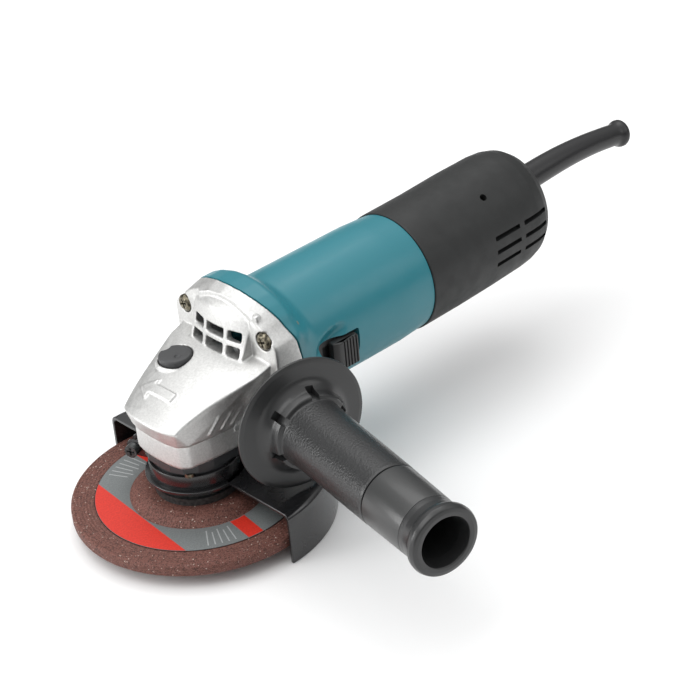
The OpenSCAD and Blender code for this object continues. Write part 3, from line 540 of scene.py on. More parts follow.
def table_at(x, table):
    """The table's value at x, straight between its points."""
    for (x0, v0), (x1, v1) in zip(table, table[1:]):
        if x <= x1:
            return v0 + (v1 - v0) * max(0.0, (x - x0) / (x1 - x0))
    return table[-1][1]


def joint_x(z, y=0.0):
    """The seam between the gear housing and the motor housing leans back and curls round the sides."""
    top_x, lean, curl = 30.2, 0.2, 4.0
    return top_x + (BELL_HIGH - z) * lean + curl * (y / BELL_HALF) ** 2


def outline_foot(inset):
    """The foot's outline, moved inwards all round except at its rear end."""
    square_from = 20
    both = FOOT + [(x, -y) for x, y in reversed(FOOT[1:])]
    ring = rounded([(x, y, 0 if x > square_from else FOOT_CORNER) for x, y in both], steps=5)
    out = []
    for i, (x, y) in enumerate(ring):
        (x0, y0), (x1, y1) = ring[i - 1], ring[(i + 1) % len(ring)]
        side = Vector((y1 - y0, x0 - x1)).normalized()
        if x > square_from:
            out.append((REAR_END, y - math.copysign(inset, y)))
        else:
            out.append((x + side.x * inset, y + side.y * inset))
    return out


def bell_polar():
    """The bell's outline once round: (angle from straight up, distance from the motor axis)."""
    half = [(y, z - AXIS_Z, BELL_CORNER) for y, z in BELL_ARCH]
    ring = rounded(half + [(-y, z, r) for y, z, r in reversed(half[1:-1])], steps=4)
    polar = sorted((math.atan2(y, z) % (2 * math.pi), math.hypot(y, z)) for y, z in ring)
    (first_a, first_r), (last_a, last_r) = polar[0], polar[-1]
    return [(last_a - 2 * math.pi, last_r)] + polar + [(first_a + 2 * math.pi, first_r)]


BELL_POLAR = bell_polar()


def bell_radius(a):
    """Distance from the motor axis to the bell's outline; a is the angle from straight up."""
    a %= 2 * math.pi
    sides = zip(BELL_POLAR, BELL_POLAR[1:])
    (a0, r0), (a1, r1) = next((p, q) for p, q in sides if p[0] <= a <= q[0])
    if a1 - a0 < 1e-9:
        return r0
    p, q = (math.sin(a0) * r0, math.cos(a0) * r0), (math.sin(a1) * r1, math.cos(a1) * r1)
    dx, dy = q[0] - p[0], q[1] - p[1]
    return (p[0] * dy - p[1] * dx) / (math.sin(a) * dy - math.cos(a) * dx)


def bell_ring(inset=0.0, drop=0.0):
    """The bell's outline; its arch can be lowered by a drop."""
    pts = []
    for k in range(BELL_SIDES):
        a = 2 * math.pi * k / BELL_SIDES
        r = bell_radius(a) - inset
        y, z = -math.sin(a) * r, AXIS_Z + math.cos(a) * r
        pts.append((y, z - drop * smoothstep(79.0, 88.0, z)))
    return pts


def foot_stack(levels):
    """The foot's outline raised through levels of (height, inset)."""
    bm = bmesh.new()
    return close(bm, [[bm.verts.new((x, y, z)) for x, y in outline_foot(inset)] for z, inset in levels])


def nose_body():
    """The body between the ledge and the slope, whose top is one soft curve."""
    halves = [(x, y) for x, y, z in NOSE_EDGE]
    pts = [(x, y, LEDGE_Z) for x, y in outline_foot(LEDGE_INSET)]
    for x, y, z in NOSE_EDGE:
        pts += [(x, y, z), (x, -y, z)]
    for k in range(13):
        y = 24.0 * k / 12
        push = 3.0 * (y / NOSE_CORNER_Y) ** 2.6
        for i in range(27):
            x = NOSE_FRONT + push + i * 2.0
            half = table_at(x, halves)
            if x < REAR_END and (y < half or y <= NOSE_CORNER_Y and x < -18):
                fall = 0.9 * (y / half) ** 2 * min(1.0, i * 2.0 / 8)
                z = table_at(x - push, NOSE_RIDGE) - fall
                pts += [(x, y, z), (x, -y, z)]
    return shell(pts)


def bell_band():
    """The bell up to the slanted joint, its arch falling a little towards the front."""
    bm = bmesh.new()
    rings = []
    for depth, inset, drop in ((0.0, 0.7, 2.9), (0.4, 0.15, 2.7), (1.0, 0.0, 2.3)):
        rings.append([bm.verts.new((BELL_FACE_X + depth, y, z)) for y, z in bell_ring(inset, drop)])
    rings.append([bm.verts.new((joint_x(z, y) - 0.25, y, z)) for y, z in bell_ring()])
    return close(bm, rings)


def hood():
    """Its front bulges, and its near and far edges lean back until they meet the bell's face."""
    bm = bmesh.new()
    rings = []
    for z, x0, bulge, half in HOOD_LEVELS:
        ring = [(HOOD_BACK, half, z)]
        for k in range(17):
            t = 1 - k / 8
            ring.append((min(x0 + bulge * t * t, HOOD_BACK - 0.1), half * t, z))
        ring.append((HOOD_BACK, -half, z))
        rings.append([bm.verts.new(p) for p in ring])
    return close(bm, rings)


def screw_corner(s):
    """The facet at the bell's upper corner that holds a screw."""
    return shell([(24.9, s * 19, 68), (27.5, s * 19, 68), (24.5, s * 19, 86.5), (27.5, s * 19, 90.4),
                  (25.4, s * 18, 89.4), (24.9, s * 29.2, 67), (27.5, s * 29.4, 67), (25.3, s * 29.2, 81.5),
                  (27.5, s * 29.4, 83), (25.5, s * 24, 86.2), (27.5, s * 25, 87.2)])


def lock_rim():
    """The raised rim round the lock button."""
    rim = lathe([(0, 50), (9.4, 50), (9.2, 64.8), (8.6, 66.2), (0, 66.2)], 64)
    rim.transform(Matrix.Translation(LOCK_PLACE))
    return rim


def handle_bosses():
    """The threaded bosses for the side handle, one on each side."""
    near = lathe([(0, 12), (11.5, 12), (10.8, 30), (10.4, 31.9), (9.9, 32.2), (0, 32.2)], 64)
    far = near.copy()
    near.transform(place_on_handle())
    far.transform(MIRROR_Y @ place_on_handle())
    return [near, far]


def boss_web(s):
    """The cheek between the nose, the bell and a handle boss."""
    return shell([(8, s * 21, 44), (27, s * 22, 40), (12, s * 26.6, 64), (27, s * 29.2, 68),
                  (27, s * 29, 48), (20, s * 26.5, 47), (27, s * 15, 44), (27, s * 15, 68)])


def side_rib(skin, s, x0):
    """A slanted rib that stands on the nose's side facet."""
    foot_half, top_half, proud, sunk = 0.8, 0.3, 0.65, 2
    ends = []
    for x, z in ((x0, 46.6), (x0 + 5.0, 54.6)):
        hit, normal = skin.ray_cast(Vector((x, s * 60, z)), Vector((0, -s, 0)))[:2]
        ends.append((hit, normal * (1 if normal.y * s > 0 else -1)))
    (lo, out_lo), (hi, out_hi) = ends
    across = out_lo.cross((hi - lo).normalized()).normalized()
    pts = [p - out * sunk + across * side * foot_half for p, out in ends for side in (-1, 1)]
    for p, out, share in ((lo, out_lo, 1.0), (hi, out_hi, 0.8)):
        pts += [p + out * proud * share + across * side * top_half for side in (-1, 1)]
    return shell(pts)


def arrow_slices(skin):
    """Spin direction arrow: a plain shaft and a pointed head, a little proud of the slope."""
    spans = [(-6.0 + k, -13.5, -9.5) for k in range(15)] + [(8.0, -16.4, -6.8)]
    spans += [(8.0 + 6.8 * k / 6, -16.4 + 4.3 * k / 6, -6.8 - 5.0 * k / 6) for k in range(1, 7)]
    out = []
    for (y0, a0, b0), (y1, a1, b1) in zip(spans, spans[1:]):
        if y1 - y0 < 0.01:
            continue
        pts = []
        for y, lo, hi in ((y0, a0, b0), (y1, a1, b1)):
            for k in range(4):
                x = lo + (hi - lo) * k / 3
                top = skin.ray_cast(Vector((x, y, 90)), Vector((0, 0, -1)))[0].z
                pts += [(x, y, top - 2.0), (x, y, top + ARROW_PROUD)]
        out.append(shell(pts))
    return out


def rim_line():
    """The thin rim over the hood, and the small block at its far end."""
    out = []
    for a, b in zip(RIM_PATH, RIM_PATH[1:]):
        out.append(shell([(x + dx, y, z + dz) for x, y, z in (a, b)
                          for dx, dz in ((-0.5, 0.2), (0.9, 0.6), (-0.5, -2), (2, -2))]))
    x, y, z = 25.6, -21.6, 89.6
    out.append(shell([(x + dx, y + dy, z + dz)
                      for dx in (-0.4, 2.2) for dy in (-1.4, 1.2) for dz in (-1.2, 1.7)]))
    return out


def housing_openings():
    """The grille and the space behind it, the seats of the screws and button, and the bores."""
    cutters = []
    for y0, y1 in ((-15.3, -7.9), (-5.6, 5.6), (7.9, 15.3)):
        for z0, z1 in ((69.9, 74.7), (76.9, 81.5)):
            ring = rounded(rectangle(y0, z0, y1, z1), 1.0, 4)
            cutters.append(prism([(-z, y) for y, z in ring], 8, 25, matrix=along_x()))
    cutters.append(block((22.8, -15.3, 68.6), (36, 15.3, 82.4)))
    # the near pair of screws, then the far pair
    for y, z in SCREW_PLACES[::2] + SCREW_PLACES[1::2]:
        cutters.append(rod(4.5, 8, 26.6, along_x(y, z)))
    cutters.append(rod(7.95, 62.6, 90, Matrix.Translation(LOCK_PLACE)))
    cutters.append(rod(17.9, 20, 44, segments=96))
    for m in (place_on_handle(), MIRROR_Y @ place_on_handle()):
        cutters.append(rod(4.0, 20, 40, m))
    cutters.append(rod(24.6, 34.0, 70, along_x(0, AXIS_Z), segments=96))
    return cutters


def gear_housing():
    nose = nose_body()
    skin = BVHTree.FromBMesh(nose)
    parts = [foot_stack(FOOT_LEVELS), foot_stack(LIP_LEVELS), nose, bell_band(), hood()]
    parts += [screw_corner(s) for s in (-1, 1)]
    parts += [lock_rim(), *handle_bosses()]
    parts += [boss_web(s) for s in (-1, 1)]
    parts += [side_rib(skin, s, x0) for s in (-1, 1) for x0 in (-6.0, 0.2, 5.5, 11.5)]
    parts += arrow_slices(skin) + rim_line()
    solid = fused(joined(parts), 0.42, 3)
    solid = fused(minus(solid, housing_openings(), "MANIFOLD"), 0.36, 4)
    obj = make("gear_housing_shell", solid, cast, smooth_angle=180)
    stands_for(obj, "housing", "cast_aluminium", "gear_housing")


# ---------- motor housing ----------

# Points round each ring of the motor housing
AROUND = 192
# The finger scoop over the slide switch is a slanted oval: half length, half height and depth
SCOOP_LONG, SCOOP_HIGH, SCOOP_DEEP = 9.5, 4.6, 2.9
BARREL_INSIDE = 24.9


def barrel_radius(x):
    """The barrel narrows a little over its rear part."""
    taper_from, taper = 110, 0.9
    if x < taper_from:
        return BARREL_R
    return BARREL_R - taper * (x - taper_from) / (SEAM_X - taper_from)


def motor_skin(u, a, inset=0.0):
    """The outer skin: u runs from the joint (0) to the rear seam (1), a is the angle from straight up."""
    dy, dz = -math.sin(a), math.cos(a)
    bell = bell_radius(a) - inset
    x_joint = joint_x(AXIS_Z + dz * bell, dy * bell)
    x = x_joint + (SEAM_X - x_joint) * u
    # the bell's outline becomes the round barrel, over a shorter stretch at the top
    low = 1 - max(0.0, dz)
    w = smoothstep(39.5 - 1.5 * low, 50.0 + 8 * low, x) ** 0.85
    r = bell * (1 - w) + (barrel_radius(x) - inset) * w
    z = AXIS_Z + dz * r
    if dy < -0.3:
        sx = (x - (58.0 + (z - 62) * 0.55)) / SCOOP_LONG
        sz = (z - (66.0 + (x - 62) * 0.16)) / SCOOP_HIGH
        d = sx * sx + sz * sz
        if d < 1:
            r -= SCOOP_DEEP * (1 - d) ** 1.2
    return Vector((x, dy * r, AXIS_Z + dz * r))


def skin_stations():
    """Places along the skin after the joint, close together up to the end of the scoop."""
    places = [0.003, 0.008]
    while places[-1] < 0.42:
        places.append(places[-1] + 0.0085)
    while places[-1] < 0.985:
        places.append(min(places[-1] + 0.03, 0.985))
    return [round(s, 4) for s in places]


def motor_housing():
    bm = bmesh.new()
    turns = [2 * math.pi * j / AROUND for j in range(AROUND)]
    rings = []
    # the joint's face and its small rounded edge: (inset, how far back)
    for inset, back in ((2.6, 0.25), (0.45, 0.2), (0.12, 0.32)):
        rings.append([bm.verts.new(motor_skin(0.0, a, inset) + Vector((back, 0, 0))) for a in turns])
    for u in skin_stations():
        rings.append([bm.verts.new(motor_skin(u, a)) for a in turns])
    end_r = barrel_radius(SEAM_X)
    ends = [(SEAM_X - 0.25, end_r), (SEAM_X - 0.05, end_r - 0.3), (SEAM_X - 0.05, 25.5), (SEAM_X - 8, 25.5),
            (SEAM_X - 10, 25.0)]
    for x, r in ends + [(x, BARREL_INSIDE) for x in (60, 52, 46)]:
        rings.append([bm.verts.new((x, -math.sin(a) * r, AXIS_Z + math.cos(a) * r)) for a in turns])
    wrap(bm, rings)
    pocket = prism(rounded(rectangle(53.6, 48.2, 76.6, 64.8), 1.0, 4), 20, 36.5, matrix=side_on(-1))
    obj = make("motor_housing_shell", minus(bm, [pocket]), teal, smooth_angle=38)
    stands_for(obj, "housing", "teal_plastic", "motor_housing")


def switch_bed():
    """The darker floor that shows in the switch's pocket, with a slot for the switch rod."""
    bed = prism(rounded(rectangle(51.6, 46.2, 78.5, 66.8), 1.5, 3), 24.9, 26.2, matrix=side_on(-1))
    bed = minus(bed, [block((57.2, -30, 54.2), (80.0, -20, 61.8))])
    # a thin floor closes the front of the slot, behind the rod
    block((56.6, -23.7, 53.0), (63.0, -23.2, 63.0), bed)
    obj = make("switch_bed", bed, inner_plastic)
    stands_for(obj, "housing", "inner_plastic")


# ---------- rear cover ----------

# How far the cover's top stands over a plain round cover at the tail
TAIL_RISE = 5.0
# The cord guard leaves the tail at this height
CORD_Z = 70.5


def rear_cover():
    r = barrel_radius(SEAM_X) + 0.7
    outer = [(r - 0.35, SEAM_X, 0.1), (r, SEAM_X + 0.4, 0.3), (r - 0.25, 150, 20), (r - 0.8, 172, 20),
             (27.8, 192, 20), (27.2, 198, 6), (25.8, 203.5, 5), (22.8, 208.3, 5), (17.0, TAIL_X - 0.6, 5),
             (9.0, TAIL_X, 4), (0, TAIL_X)]
    inner = [(0, TAIL_X - 2.6), (14.0, TAIL_X - 3.4, 4), (20.5, 204, 4), (24.0, 196, 6), (26.0, 160, 5),
             (26.6, SEAM_X + 0.2, 0.1)]
    profile = rounded(outer, 1.0, 6, closed=False) + rounded(inner, 1.0, 5, closed=False)
    bm = lathe(profile, 192)
    bm.transform(along_x(0, AXIS_Z))
    # the top keeps level towards the tail, where a plain round cover would fall away
    for v in bm.verts:
        high = v.co.z - AXIS_Z
        if math.hypot(v.co.y, high) > 26.05 or v.co.x > 198:
            v.co.z += TAIL_RISE * smoothstep(128.0, 204.0, v.co.x) * max(0.0, (high + 28.0) / 56.0) ** 1.3
    cutters = []
    slot_long, slot_half = 16.8, 1.1
    for side in (-1, 1):
        for x0 in (167.0, 187.0):
            for row in (-1, 0, 1):
                z0 = AXIS_Z + 1.6 + row * 6.8
                ring = rounded(rectangle(x0, z0 - slot_half, x0 + slot_long, z0 + slot_half), 0.4, 3)
                cutters.append(prism(ring, 19, 33, matrix=side_on(side)))
    cutters.append(rod(6.7, TAIL_X - 12, TAIL_X + 5, along_x(0, CORD_Z)))
    screw_hole = Matrix.Translation((170.7, 0, AXIS_Z)) @ Matrix.Rotation(math.radians(34), 4, "X")
    cutters.append(rod(1.75, 26.2, 38, screw_hole, segments=32))
    obj = make("rear_cover_shell", minus(bm, cutters), cover_mat, smooth_angle=38)
    stands_for(obj, "housing", "grey_plastic", "rear_cover")


# ---------- side handle ----------

# Along the handle: its seat on the boss, and the hand flange's inner face and thickness
HANDLE_SEAT, FLANGE_AT, FLANGE_THICK = 32.2, 50.2, 2.2
GRIP_FROM, GRIP_TO, GRIP_OVER_R = 66.0, 120.0, 14.2


def side_handle():
    """A hollow handle with a notched hand flange; its grip is coarser than the rest."""
    seat, inner, outer = HANDLE_SEAT, FLANGE_AT, FLANGE_AT + FLANGE_THICK
    skin = [(4.1, seat, 0.3), (10.2, seat, 0.8), (11.6, 38, 3), (13.4, inner - 3.2, 3), (17.0, inner - 0.7, 3),
            (29.6, inner, 0.8), (30.75, inner + 0.9, 0.7), (30.7, outer - 0.2, 0.6), (28.8, outer + 0.25, 1.0),
            (21.5, outer + 0.9, 6), (18.4, outer + 4.4, 5), (17.6, outer + 9.0, 1.2), (15.6, outer + 9.6, 1.0),
            (15.2, 70, 4), (14.95, 90, 8), (14.65, 119.4, 0.6), (14.45, 120.7, 0.4), (13.2, 121.0, 0.3),
            (13.2, 146.9, 0.2), (14.0, 147.05, 0.2), (13.95, 150.0, 5), (14.6, 153.6, 2.5), (15.7, 155.6, 1.3),
            (15.9, 157.6, 1.2), (15.3, 159.6, 1.0), (13.4, 160.0, 0.6), (11.4, 159.9, 0.7), (11.0, 157.0, 2),
            (10.5, 154.0, 1.0), (10.5, 112.5, 3)]
    stud_bore = [(0, 80.0), (4.1, 80.0)]
    bm = lathe(rounded(skin, 1.0, 5, closed=False) + [(0, 112.0)] + stud_bore, 160)
    for f in bm.faces:
        c = f.calc_center_median()
        if GRIP_FROM < c.z < GRIP_TO and math.hypot(c.x, c.y) > GRIP_OVER_R:
            f.material_index = 1
    notches = []
    for k in range(6):
        notch = block((15.7, -1.9, outer + 3.0), (24, 1.9, outer + 16))
        notch.transform(Matrix.Rotation(math.radians(60 * k + 20), 4, "Z"))
        notches.append(notch)
    place = place_on_handle()
    obj = make("side_handle_body", minus(bm, notches), [handle_mat, grip_mat], smooth_angle=40, matrix=place)
    stands_for(obj, "housing", "handle_plastic", "side_handle")
    ring = rounded([(13.22, 121.45, 0.1), (14.55, 121.45, 0.35), (14.3, 134, 8), (14.02, 146.95, 0.3),
                    (13.22, 146.95, 0.1)], 0.2, 4)
    obj = make("handle_sleeve_ring", lathe(ring, 160), sleeve_mat, smooth_angle=40, matrix=place)
    stands_for(obj, "housing", "sleeve_plastic", "handle_sleeve")


# ---------- guard ----------

GUARD_R, GUARD_THICK, GUARD_LOW, GUARD_HIGH = 61.2, 1.6, -6.0, 19.0
COLLAR_R, BAND_TOP = 19.95, 26.0
CLAMP_TURN = Matrix.Rotation(math.radians(110), 4, "Z")
CLAMP_HALF_GAP = 1.5


def guard_sheet():
    """Half a ring of sheet from the collar outwards and down the skirt, its corner rolled."""
    steps = 120
    under = GUARD_HIGH - GUARD_THICK
    inside = GUARD_R - GUARD_THICK
    outer = rounded([(COLLAR_R, GUARD_HIGH), (GUARD_R, GUARD_HIGH, 4.2), (GUARD_R, GUARD_LOW)],
                    steps=8, closed=False)
    inner = rounded([(inside, GUARD_LOW), (inside, under, 2.8), (COLLAR_R, under)], steps=8, closed=False)
    bm = bmesh.new()
    rings = []
    for k in range(steps + 1):
        a = -math.pi / 2 + math.pi * k / steps
        rings.append([bm.verts.new((r * math.cos(a), r * math.sin(a), z)) for r, z in outer + inner])
    return close(bm, rings)


def clamp_ear(side):
    """One of the band's two upright ears, with a hole for the clamp screw."""
    y0 = side * (CLAMP_HALF_GAP + GUARD_THICK / 2) - GUARD_THICK / 2
    ring = rounded(rectangle(19.4, GUARD_HIGH, 33.2, BAND_TOP), 2.2, 5)
    ear = prism(ring, y0, y0 + GUARD_THICK, matrix=side_on(1))
    ear.transform(CLAMP_TURN)
    across = Matrix.Translation((29.5, 0, 22.6)) @ Matrix.Rotation(math.radians(90), 4, "X")
    return minus(ear, [rod(2.05, -10, 10, CLAMP_TURN @ across)])


def wheel_guard():
    under = GUARD_HIGH - GUARD_THICK
    ring = lathe(rounded(rectangle(COLLAR_R, under, 22.6, GUARD_HIGH), 0.35, 3), 128)
    band = lathe(rounded(rectangle(18.9, GUARD_HIGH - 0.6, 20.5, BAND_TOP), 0.35, 3), 160)
    gap = block((10, -CLAMP_HALF_GAP, GUARD_HIGH - 0.2), (40, CLAMP_HALF_GAP, 40))
    gap.transform(CLAMP_TURN)
    obj = make("wheel_guard_sheet", guard_sheet(), guard_mat, smooth_angle=40)
    bevelled(obj, 0.35, 3, 50)
    stands_for(obj, "guard", "guard_paint", "wheel_guard")
    pieces = {"ring": ring, "band": minus(band, [gap]), "ear_a": clamp_ear(-1), "ear_b": clamp_ear(1)}
    for name, piece in pieces.items():
        stands_for(make("wheel_guard_" + name, piece, guard_mat, smooth_angle=40), "guard", "guard_paint")


# ---------- wheel ----------

# The label is a thin ring that lies on the wheel's upper face
WHEEL_R, WHEEL_BORE_R, WHEEL_THICK = 57.5, 11.115, 6.0
LABEL_IN, LABEL_OUT, LABEL_LOW, LABEL_TOP = 31.0, 46.6, 6.02, 6.25


def wheel():
    """A depressed-centre wheel: a flat rim with fine rings near its edge, and a raised hub."""
    bore, rim, thick = WHEEL_BORE_R, WHEEL_R, WHEEL_THICK
    profile = rounded([(bore, 4.0, 0.2), (23.0, 4.0, 1.5), (30.0, 0.15, 2.5), (rim - 1.1, 0.0, 0.5),
                       (rim, 0.9, 0.9), (rim, 5.0, 1.0), (rim - 1.0, thick, 0.7)], 0.5, 5, closed=False)
    r = rim - 1.4
    while r > 47.2:
        profile += [(r, thick), (r - 0.35, thick - 0.16), (r - 0.62, thick - 0.16), (r - 0.95, thick)]
        r -= 1.42
    profile += [(46.9, thick), (32.4, thick)]
    hub = rounded([(32.4, thick), (30.6, 6.25, 2.2), (27.2, 9.2, 4.5), (23.6, 10.0, 3.0), (bore, 10.0, 0.3)],
                  1.0, 7, closed=False)
    obj = make("grinding_wheel_disc", lathe(profile + hub[1:], 224), abrasive, smooth_angle=50)
    stands_for(obj, "spindle", "abrasive", "grinding_wheel")


def direction(degrees):
    """The unit vectors outwards and sideways at that angle round the spindle."""
    a = math.radians(degrees)
    out = Vector((math.cos(a), math.sin(a)))
    return out, Vector((-out.y, out.x))


def printed(bm, outline, proud):
    """A flat print that stands a little out of the label."""
    prism([(p[0], p[1]) for p in outline], LABEL_TOP - 0.02, LABEL_TOP + proud, bm)


def label():
    """Grey paper ring with a red segment, two red blocks and rows of plain grey bars."""
    edge_z, edge = LABEL_TOP - 0.05, 0.15
    paper = lathe([(LABEL_IN, LABEL_LOW), (LABEL_OUT, LABEL_LOW), (LABEL_OUT, edge_z),
                   (LABEL_OUT - edge, LABEL_TOP), (LABEL_IN + edge, LABEL_TOP), (LABEL_IN, edge_z)], 256)
    obj = make("wheel_label_paper", paper, label_mat, smooth_angle=40)
    stands_for(obj, "spindle", "label_paper", "wheel_label")
    red = bmesh.new()
    segment_r, chord, segment_at = LABEL_OUT - 0.1, 31.3, math.radians(175)
    half = math.acos(chord / segment_r)
    turns = [segment_at + (-half + 2 * half * k / 72) for k in range(73)]
    printed(red, [(segment_r * math.cos(a), segment_r * math.sin(a)) for a in turns], 0.03)
    block_in, block_out, block_half = 31.4, 46.4, 3.7
    corner = math.sqrt(block_in ** 2 - block_half ** 2)
    for centre in (262.0, 88.0):
        out, side = direction(centre)
        pts = [out * corner - side * block_half]
        for k in range(9):
            y = -block_half + 2 * block_half * k / 8
            pts.append(out * math.sqrt(block_out ** 2 - y * y) + side * y)
        printed(red, pts + [out * corner + side * block_half, out * (block_in + 0.1)], 0.03)
    stands_for(make("wheel_label_red", red, red_mat), "spindle", "label_paper")
    marks = bmesh.new()
    bar_half, bar_out = 0.28, 44.4
    for centre, count in ((243.0, 5), (107.0, 6)):
        for k in range(count):
            out, side = direction(centre + (k - (count - 1) / 2) * 4.0)
            bar_in = 33.6 + (k % 2) * 1.6
            printed(marks, [out * bar_in - side * bar_half, out * bar_out - side * bar_half,
                            out * bar_out + side * bar_half, out * bar_in + side * bar_half], 0.025)
    stands_for(make("wheel_label_bars", marks, print_mat), "spindle", "label_paper")


# ---------- lock button, switch, cord guard, screws ----------

def lock_button():
    """A round cap with a small dimple, and a notch on its far side."""
    low, top = (v.z for v in mm_box("shaft_lock_button"))
    profile = rounded([(0, low), (7.5, low, 0.2), (7.6, top - 1.0, 0.9), (7.0, top - 0.15, 0.8), (5.5, top, 3),
                       (0, top)], 0.5, 5, closed=False)
    bm = lathe(profile, closed=False)
    bm.transform(Matrix.Translation(LOCK_PLACE))
    dimple = bmesh.new()
    bmesh.ops.create_icosphere(dimple, subdivisions=4, radius=2.2)
    dimple.transform(Matrix.Translation(LOCK_PLACE + Vector((-0.9, -3.0, top + 1.45))))
    notch = rod(4.0, 0, 4.0, Matrix.Translation(LOCK_PLACE + Vector((0.2, 9.2, top - 2.4))), segments=64)
    obj = make("shaft_lock_cap", minus(bm, [dimple, notch]), button_mat)
    stands_for(obj, "shaft_lock", "button_plastic", "shaft_lock_button")


def slide_switch():
    """The thumb piece: a block with soft edges, sloping at its front, with five finger grooves."""
    lo, hi = mm_box("slide_switch")
    bm = bmesh.new()
    rings = []
    # levels outwards from the bed: (y, the front end's insets in X and Z, the rear end's insets in X and Z)
    levels = [(-27.2, 0.2, 0, 0, 0), (lo.y + 1.7, 0.2, 0, 0, 0), (lo.y + 0.3, 2.2, 0.4, 0.25, 0.25),
              (lo.y, 3.0, 0.9, 0.7, 0.7)]
    for y, front_x, front_z, rear_x, rear_z in levels:
        x0, x1 = lo.x + front_x, hi.x - rear_x
        outline = [(x0, lo.z + front_z), (x1, lo.z + rear_z), (x1, hi.z - rear_z), (x0, hi.z - front_z)]
        rings.append([bm.verts.new((x, y, z)) for x, z in rounded(outline, 0.8, 4)])
    close(bm, rings)
    grooves = []
    for k in range(5):
        x = lo.x + 5.0 + k * 1.75
        grooves.append(block((x, lo.y - 1, lo.z - 2), (x + 0.8, lo.y + 0.55, hi.z + 2)))
    obj = make("slide_switch_thumb", minus(bm, grooves), switch_mat, smooth_angle=30)
    stands_for(obj, "slide_switch", "switch_plastic", "slide_switch")


def cord_guard():
    """A soft tapered boot that curves slightly, with a rim at its open end."""
    bm = bmesh.new()
    length = mm_box("cord_guard")[1].x - TAIL_X
    rings = []

    def centre(s):
        t = s / length
        bow = 2.2 * math.sin(math.pi * min(max(t, 0), 1) * 0.9)
        return Vector((TAIL_X + s, 0, CORD_Z + bow - 3.0 * max(t, 0) ** 2.2))

    def add(s, r):
        c = centre(s)
        ahead = (centre(s + 0.5) - centre(s - 0.5)).normalized()
        up = Vector((-ahead.z, 0, ahead.x))
        rings.append([bm.verts.new(c + up * u + Vector((0, v, 0))) for u, v in circle(r, 64)])

    # (place along the guard, radius): the boot, its rim, and back through the bore
    outer = [(-5.0, 3.7), (-5.0, 6.55), (0.0, 6.6), (2, 6.65), (6, 6.55)]
    outer += [(6 + s, 6.5 - 0.95 * smoothstep(0, 1, s / 60.0)) for s in range(4, 64, 4)]
    rim = [(6.5, 5.5), (5.0, 5.6), (4.0, 6.0), (3.2, 6.55), (2.2, 6.85), (1.0, 6.85), (0.3, 6.5), (0, 6.1),
           (0, 4.6), (0.5, 4.1), (2.0, 3.75)]
    bore = [(10 * k, 3.65) for k in range(1, 8)]
    for s, r in outer + [(length - back, r) for back, r in rim + bore]:
        add(s, r)
    obj = make("cord_guard_boot", wrap(bm, rings), rubber, smooth_angle=50)
    stands_for(obj, "housing", "cord_rubber", "cord_guard")


def screw_head(r, h, drive):
    """A pan head with a recessed cross, its seat at z = 0 and its top up."""
    profile = rounded([(0, 0), (r, 0, 0.2), (r, h * 0.55, 0.5), (r * 0.72, h, 1.2), (0, h)],
                      steps=5, closed=False)
    cuts = []
    for k in range(2):
        cut = shell([(sx * long, sy * wide, z)
                     for long, wide, z in ((drive, 0.45, h + 0.6), (drive * 0.55, 0.3, h * 0.25))
                     for sx in (-1, 1) for sy in (-1, 1)])
        cut.transform(Matrix.Rotation(math.radians(90 * k + 20), 4, "Z"))
        cuts.append(cut)
    return minus(lathe(profile, 64, closed=False), cuts)


def screws():
    parts = []
    for y, z in SCREW_PLACES:
        head = screw_head(3.9, 2.5, 2.5)
        head.transform(Matrix.Translation((26.4, y, z)) @ Matrix.Rotation(math.radians(-90), 4, "Y"))
        parts += [head, rod(2.1, 26.3, 44, along_x(y, z))]
    obj = make("gear_housing_screw_set", joined(parts), screw_mat)
    stands_for(obj, "housing", "screw_steel", "gear_housing_screws")


gear_housing()
motor_housing()
switch_bed()
rear_cover()
side_handle()
wheel_guard()
wheel()
label()
lock_button()
slide_switch()
cord_guard()
screws()

# CAD nodes that stay as they are get soft edges, and two of them a darker metal
for name, mat in (("guard_clamp_screw", black_steel), ("bearing_box_screws", screw_mat)):
    nodes[name].data.materials.clear()
    nodes[name].data.materials.append(mat)
for name in ("bearing_box", "inner_flange", "lock_nut", "guard_clamp_screw", "guard_clamp_nut",
             "bearing_box_screws", "rear_cover_screw"):
    for p in nodes[name].data.polygons:
        p.use_smooth = True
    bevelled(nodes[name], 0.25, 2, 40)


# ---------- floor, light and camera ----------

FLOOR_HALF = 6.0
floor_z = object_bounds()[0].z - 0.0002
floor_bm = bmesh.new()
corners = rectangle(-FLOOR_HALF, -FLOOR_HALF, FLOOR_HALF, FLOOR_HALF)
floor_bm.faces.new([floor_bm.verts.new((x, y, floor_z)) for x, y in corners])
floor_data = bpy.data.meshes.new("floor")
floor_bm.to_mesh(floor_data)
floor_bm.free()
floor = bpy.data.objects.new("floor", floor_data)
bpy.context.scene.collection.objects.link(floor)
floor_data.materials.append(shader("floor_white", (0.93, 0.93, 0.93), 0.8, spec=0.1))

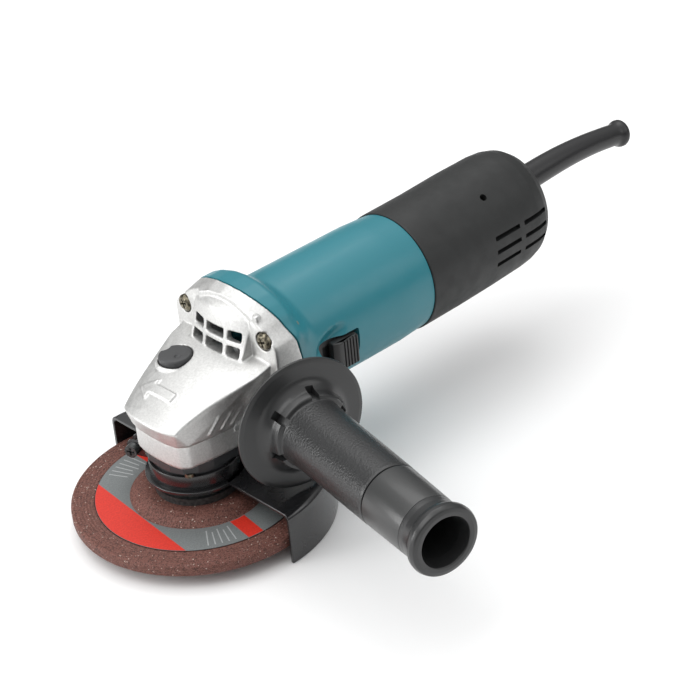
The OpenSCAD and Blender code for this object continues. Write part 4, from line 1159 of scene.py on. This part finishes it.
world = bpy.data.worlds.new("studio")
bpy.context.scene.world = world
world.use_nodes = True
world_tree = world.node_tree
background = world_tree.nodes["Background"]
background.inputs["Strength"].default_value = 1.2
direction = world_tree.nodes.new("ShaderNodeTexCoord")
height = world_tree.nodes.new("ShaderNodeSeparateXYZ")
sky = world_tree.nodes.new("ShaderNodeValToRGB")
sky.color_ramp.elements[0].position = 0.0
sky.color_ramp.elements[0].color = (0.10, 0.10, 0.10, 1)
sky.color_ramp.elements[1].position = 0.9
sky.color_ramp.elements[1].color = (1.0, 1.0, 1.0, 1)
shoulder = sky.color_ramp.elements.new(0.35)
shoulder.color = (0.28, 0.28, 0.28, 1)
world_tree.links.new(direction.outputs["Generated"], height.inputs["Vector"])
world_tree.links.new(height.outputs["Z"], sky.inputs["Fac"])
world_tree.links.new(sky.outputs["Color"], background.inputs["Color"])


def area(name, loc, target, size_x, size_y, watts):
    data = bpy.data.lights.new(name, "AREA")
    data.shape = "RECTANGLE"
    data.size, data.size_y = size_x, size_y
    data.energy = watts
    obj = bpy.data.objects.new(name, data)
    obj.location = loc
    obj.rotation_mode = "QUATERNION"
    obj.rotation_quaternion = (Vector(loc) - Vector(target)).to_track_quat("Z", "Y")
    bpy.context.scene.collection.objects.link(obj)


middle = (0.08, -0.03, 0.05)
area("key", (-0.55, 0.10, 1.1), middle, 0.9, 0.9, 4.6)
area("top", (0.30, 0.40, 1.1), middle, 0.9, 0.6, 3.0)
area("front", (-0.85, 0.50, 0.30), middle, 0.5, 0.4, 4.5)
area("fill", (0.7, -0.9, 0.7), middle, 0.8, 0.5, 1.5)

# The camera looks down from the near front corner, with a long lens and a small roll
CAMERA_TARGET = Vector((0.060, -0.0415, 0.0656))
CAMERA_DISTANCE = 0.9548
azimuth, elevation, roll = math.radians(-40.6), math.radians(31.5), math.radians(-5.4)
back = Vector((math.sin(azimuth) * math.cos(elevation), -math.cos(azimuth) * math.cos(elevation),
               math.sin(elevation)))
level = (-back).cross(Vector((0, 0, 1))).normalized()
upright = level.cross(-back).normalized()
right = level * math.cos(roll) + upright * math.sin(roll)
up = upright * math.cos(roll) - level * math.sin(roll)
camera_data = bpy.data.cameras.new("camera")
camera_data.lens = 113.14
camera_data.sensor_width = 36.0
camera_data.clip_start = 0.05
camera_data.clip_end = 20
camera = bpy.data.objects.new("camera", camera_data)
columns = (right, up, back, CAMERA_TARGET + back * CAMERA_DISTANCE)
camera.matrix_world = Matrix([[c[i] for c in columns] for i in range(3)] + [[0, 0, 0, 1]])
bpy.context.scene.collection.objects.link(camera)
bpy.context.scene.camera = camera
bpy.context.scene.view_settings.view_transform = "Standard"
